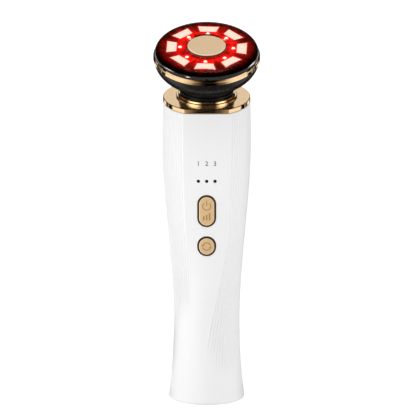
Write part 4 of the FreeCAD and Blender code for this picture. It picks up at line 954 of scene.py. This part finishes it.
def card_look(name, edge, fall):
    """Black that turns into its edge colour and thins out to nothing at its soft edge."""
    shader = Shader(name)
    shader.put("Base Color", BLACK)
    shader.put("Roughness", 1.0)
    shader.put("Specular IOR Level", 0.0)
    cover = shader.node("ShaderNodeAttribute", attribute_name="cover").outputs["Fac"]
    closed = shader.maths("MULTIPLY", cover, CARD_COVER)
    shader.put("Alpha", shader.maths("MINIMUM", closed, 1.0))
    shader.put("Emission Color", edge)
    bare = shader.maths("SUBTRACT", 1.0, cover)
    shader.put("Emission Strength", shader.maths("POWER", bare, fall))
    return shader.material


def black_card(name, azimuth, rows, look):
    """Soft-edged card on the floor, whose first and last rows are bare."""
    points, covers, faces = [], [], []
    for index, (distance, inner, outer) in enumerate(rows):
        full = 1.0 if 0 < index < len(rows) - 1 else 0.0
        points += [(x, -distance, 0.0) for x in (-outer, -inner, inner, outer)]
        covers += [0.0, full, full, 0.0]
    for row in range(len(rows) - 1):
        for column in range(CARD_COLUMNS - 1):
            corner = CARD_COLUMNS * row + column
            beyond = corner + CARD_COLUMNS
            faces.append((corner, corner + 1, beyond + 1, beyond))
    data = bpy.data.meshes.new(name)
    data.from_pydata(points, [], faces)
    data.attributes.new("cover", "FLOAT", "POINT").data.foreach_set("value", covers)
    card = stage_piece(name, data, look, ("camera", "diffuse", "shadow", "transmission"))
    turn = Matrix.Rotation(math.radians(azimuth), 4, "Z")
    card.matrix_world = turn @ Matrix.Translation((0, 0, CARD_LIFT))


def side_flag(name, x):
    """Upright black flag that only takes soft light away."""
    data = bpy.data.meshes.new(name)
    outline = ((0, 0), (FLAG_LENGTH, 0), (FLAG_LENGTH, FLAG_HEIGHT), (0, FLAG_HEIGHT))
    data.from_pydata([(x, y, z) for y, z in outline], [], [(0, 1, 2, 3)])
    shader = Shader(name + "_look")
    shader.put("Base Color", BLACK)
    stage_piece(name, data, shader.material, ("camera", "glossy", "shadow", "transmission"))


floor()
GOLD_CARD = card_look("gold_edged_card", CARD_GOLD, STEEP_FALL)
FACET_CARD = card_look("facet_card_look", CARD_GOLD, EVEN_FALL)
GREY_CARD = card_look("grey_edged_card", CARD_WHITE, STEEP_FALL)
black_card("front_card", FRONT_TURN, FRONT_ROWS, GOLD_CARD)
black_card("facet_card", FACET_TURN, FACET_ROWS, FACET_CARD)
black_card("back_card", BACK_TURN, BACK_ROWS, GOLD_CARD)
for side, way in ((-1, "left"), (1, "right")):
    black_card(way + "_card", SIDE_TURN * side, SIDE_ROWS, GOLD_CARD)
    black_card(way + "_shade", SHADE_TURN * side, SHADE_ROWS, GREY_CARD)
    side_flag(way + "_flag", FLAG_SIDE * side)


# Cloth, sky, lamps and camera

def dark_room():
    """Dark brown cloth all round the studio, that only polished surfaces and glass see."""
    mesh = bmesh.new()
    bmesh.ops.create_uvsphere(
        mesh, u_segments=ROOM_STEPS, v_segments=ROOM_STEPS // 2, radius=ROOM_RADIUS,
    )
    data = bpy.data.meshes.new("dark_room")
    mesh.to_mesh(data)
    mesh.free()
    shader = Shader("dark_room_look")
    shader.put("Base Color", BLACK)
    shader.put("Specular IOR Level", 0.0)
    shader.put("Emission Color", ROOM_BROWN)
    shader.put("Emission Strength", 1.0)
    stage_piece("dark_room", data, shader.material, ("camera", "diffuse", "shadow"))


def sky():
    """White to the camera, to reflections and through glass, and even light to the rest."""
    world = bpy.data.worlds.new("studio")
    world.use_nodes = True
    tree = world.node_tree
    rays = tree.nodes.new("ShaderNodeLightPath")
    background = tree.nodes["Background"]
    background.inputs["Color"].default_value = (1.0, 1.0, 1.0, 1.0)
    level = None
    for kind in ("Is Camera Ray", "Is Glossy Ray", "Is Transmission Ray"):
        most = tree.nodes.new("ShaderNodeMath")
        most.operation = "MAXIMUM"
        most.inputs[1].default_value = AMBIENT
        tree.links.new(rays.outputs[kind], most.inputs[0])
        if level:
            tree.links.new(level, most.inputs[1])
        level = most.outputs[0]
    tree.links.new(level, background.inputs["Strength"])
    bpy.context.scene.world = world


def softbox(name, azimuth, elevation, distance, width, height, power):
    """Soft lamp aimed at the head."""
    turn, rise = math.radians(azimuth), math.radians(elevation)
    level = math.cos(rise)
    out = Vector((math.sin(turn) * level, -math.cos(turn) * level, math.sin(rise)))
    light = bpy.data.lights.new(name, "AREA")
    light.shape = "RECTANGLE"
    light.size = width
    light.size_y = height
    light.energy = power
    lamp = bpy.data.objects.new(name, light)
    lamp.location = HEAD_CENTRE + out * distance
    lamp.rotation_mode = "QUATERNION"
    lamp.rotation_quaternion = (-out).to_track_quat("-Z", "Y")
    lamp.visible_camera = False
    bpy.context.scene.collection.objects.link(lamp)
    return lamp


def feather(lamp):
    """Lets a lamp fade out towards its edges."""
    lamp.data.use_nodes = True
    tree = lamp.data.node_tree
    place = tree.nodes.new("ShaderNodeNewGeometry").outputs["Parametric"]
    parts = tree.nodes.new("ShaderNodeSeparateXYZ")
    tree.links.new(place, parts.inputs[0])
    total = tree.nodes.new("ShaderNodeMath")
    total.operation = "MULTIPLY"
    for index, axis in enumerate("XY"):
        bell = tree.nodes.new("ShaderNodeMath")
        bell.operation = "PINGPONG"
        bell.inputs[1].default_value = LAMP_HALF
        tree.links.new(parts.outputs[axis], bell.inputs[0])
        soft = tree.nodes.new("ShaderNodeMapRange")
        soft.interpolation_type = "SMOOTHSTEP"
        soft.inputs["From Max"].default_value = LAMP_FEATHER
        tree.links.new(bell.outputs[0], soft.inputs["Value"])
        tree.links.new(soft.outputs[0], total.inputs[index])
    tree.links.new(total.outputs[0], tree.nodes["Emission"].inputs["Strength"])


sky()
dark_room()
for row in SOFT_LAMPS:
    softbox(*row).visible_glossy = False
for *row, group in MIRROR_LAMPS:
    panel = softbox(*row)
    panel.visible_diffuse = False
    panel.light_linking.receiver_collection = GROUPS[group]
    feather(panel)
    if group in GROUP_TINTS:
        panel.data.color = GROUP_TINTS[group]

CAMERA = bpy.data.objects.new("camera", bpy.data.cameras.new("camera"))
CAMERA.data.lens = CAMERA_LENS
CAMERA.data.sensor_width = CAMERA_SENSOR
CAMERA.data.clip_end = CAMERA_CLIP
BACK = Vector((0, -math.cos(CAMERA_ELEVATION), math.sin(CAMERA_ELEVATION)))
CAMERA.location = CAMERA_AIM + BACK * CAMERA_DISTANCE
CAMERA.rotation_mode = "QUATERNION"
CAMERA.rotation_quaternion = (-BACK).to_track_quat("-Z", "Y")
bpy.context.scene.collection.objects.link(CAMERA)
bpy.context.scene.camera = CAMERA
bpy.context.scene.view_settings.view_transform = "Standard"
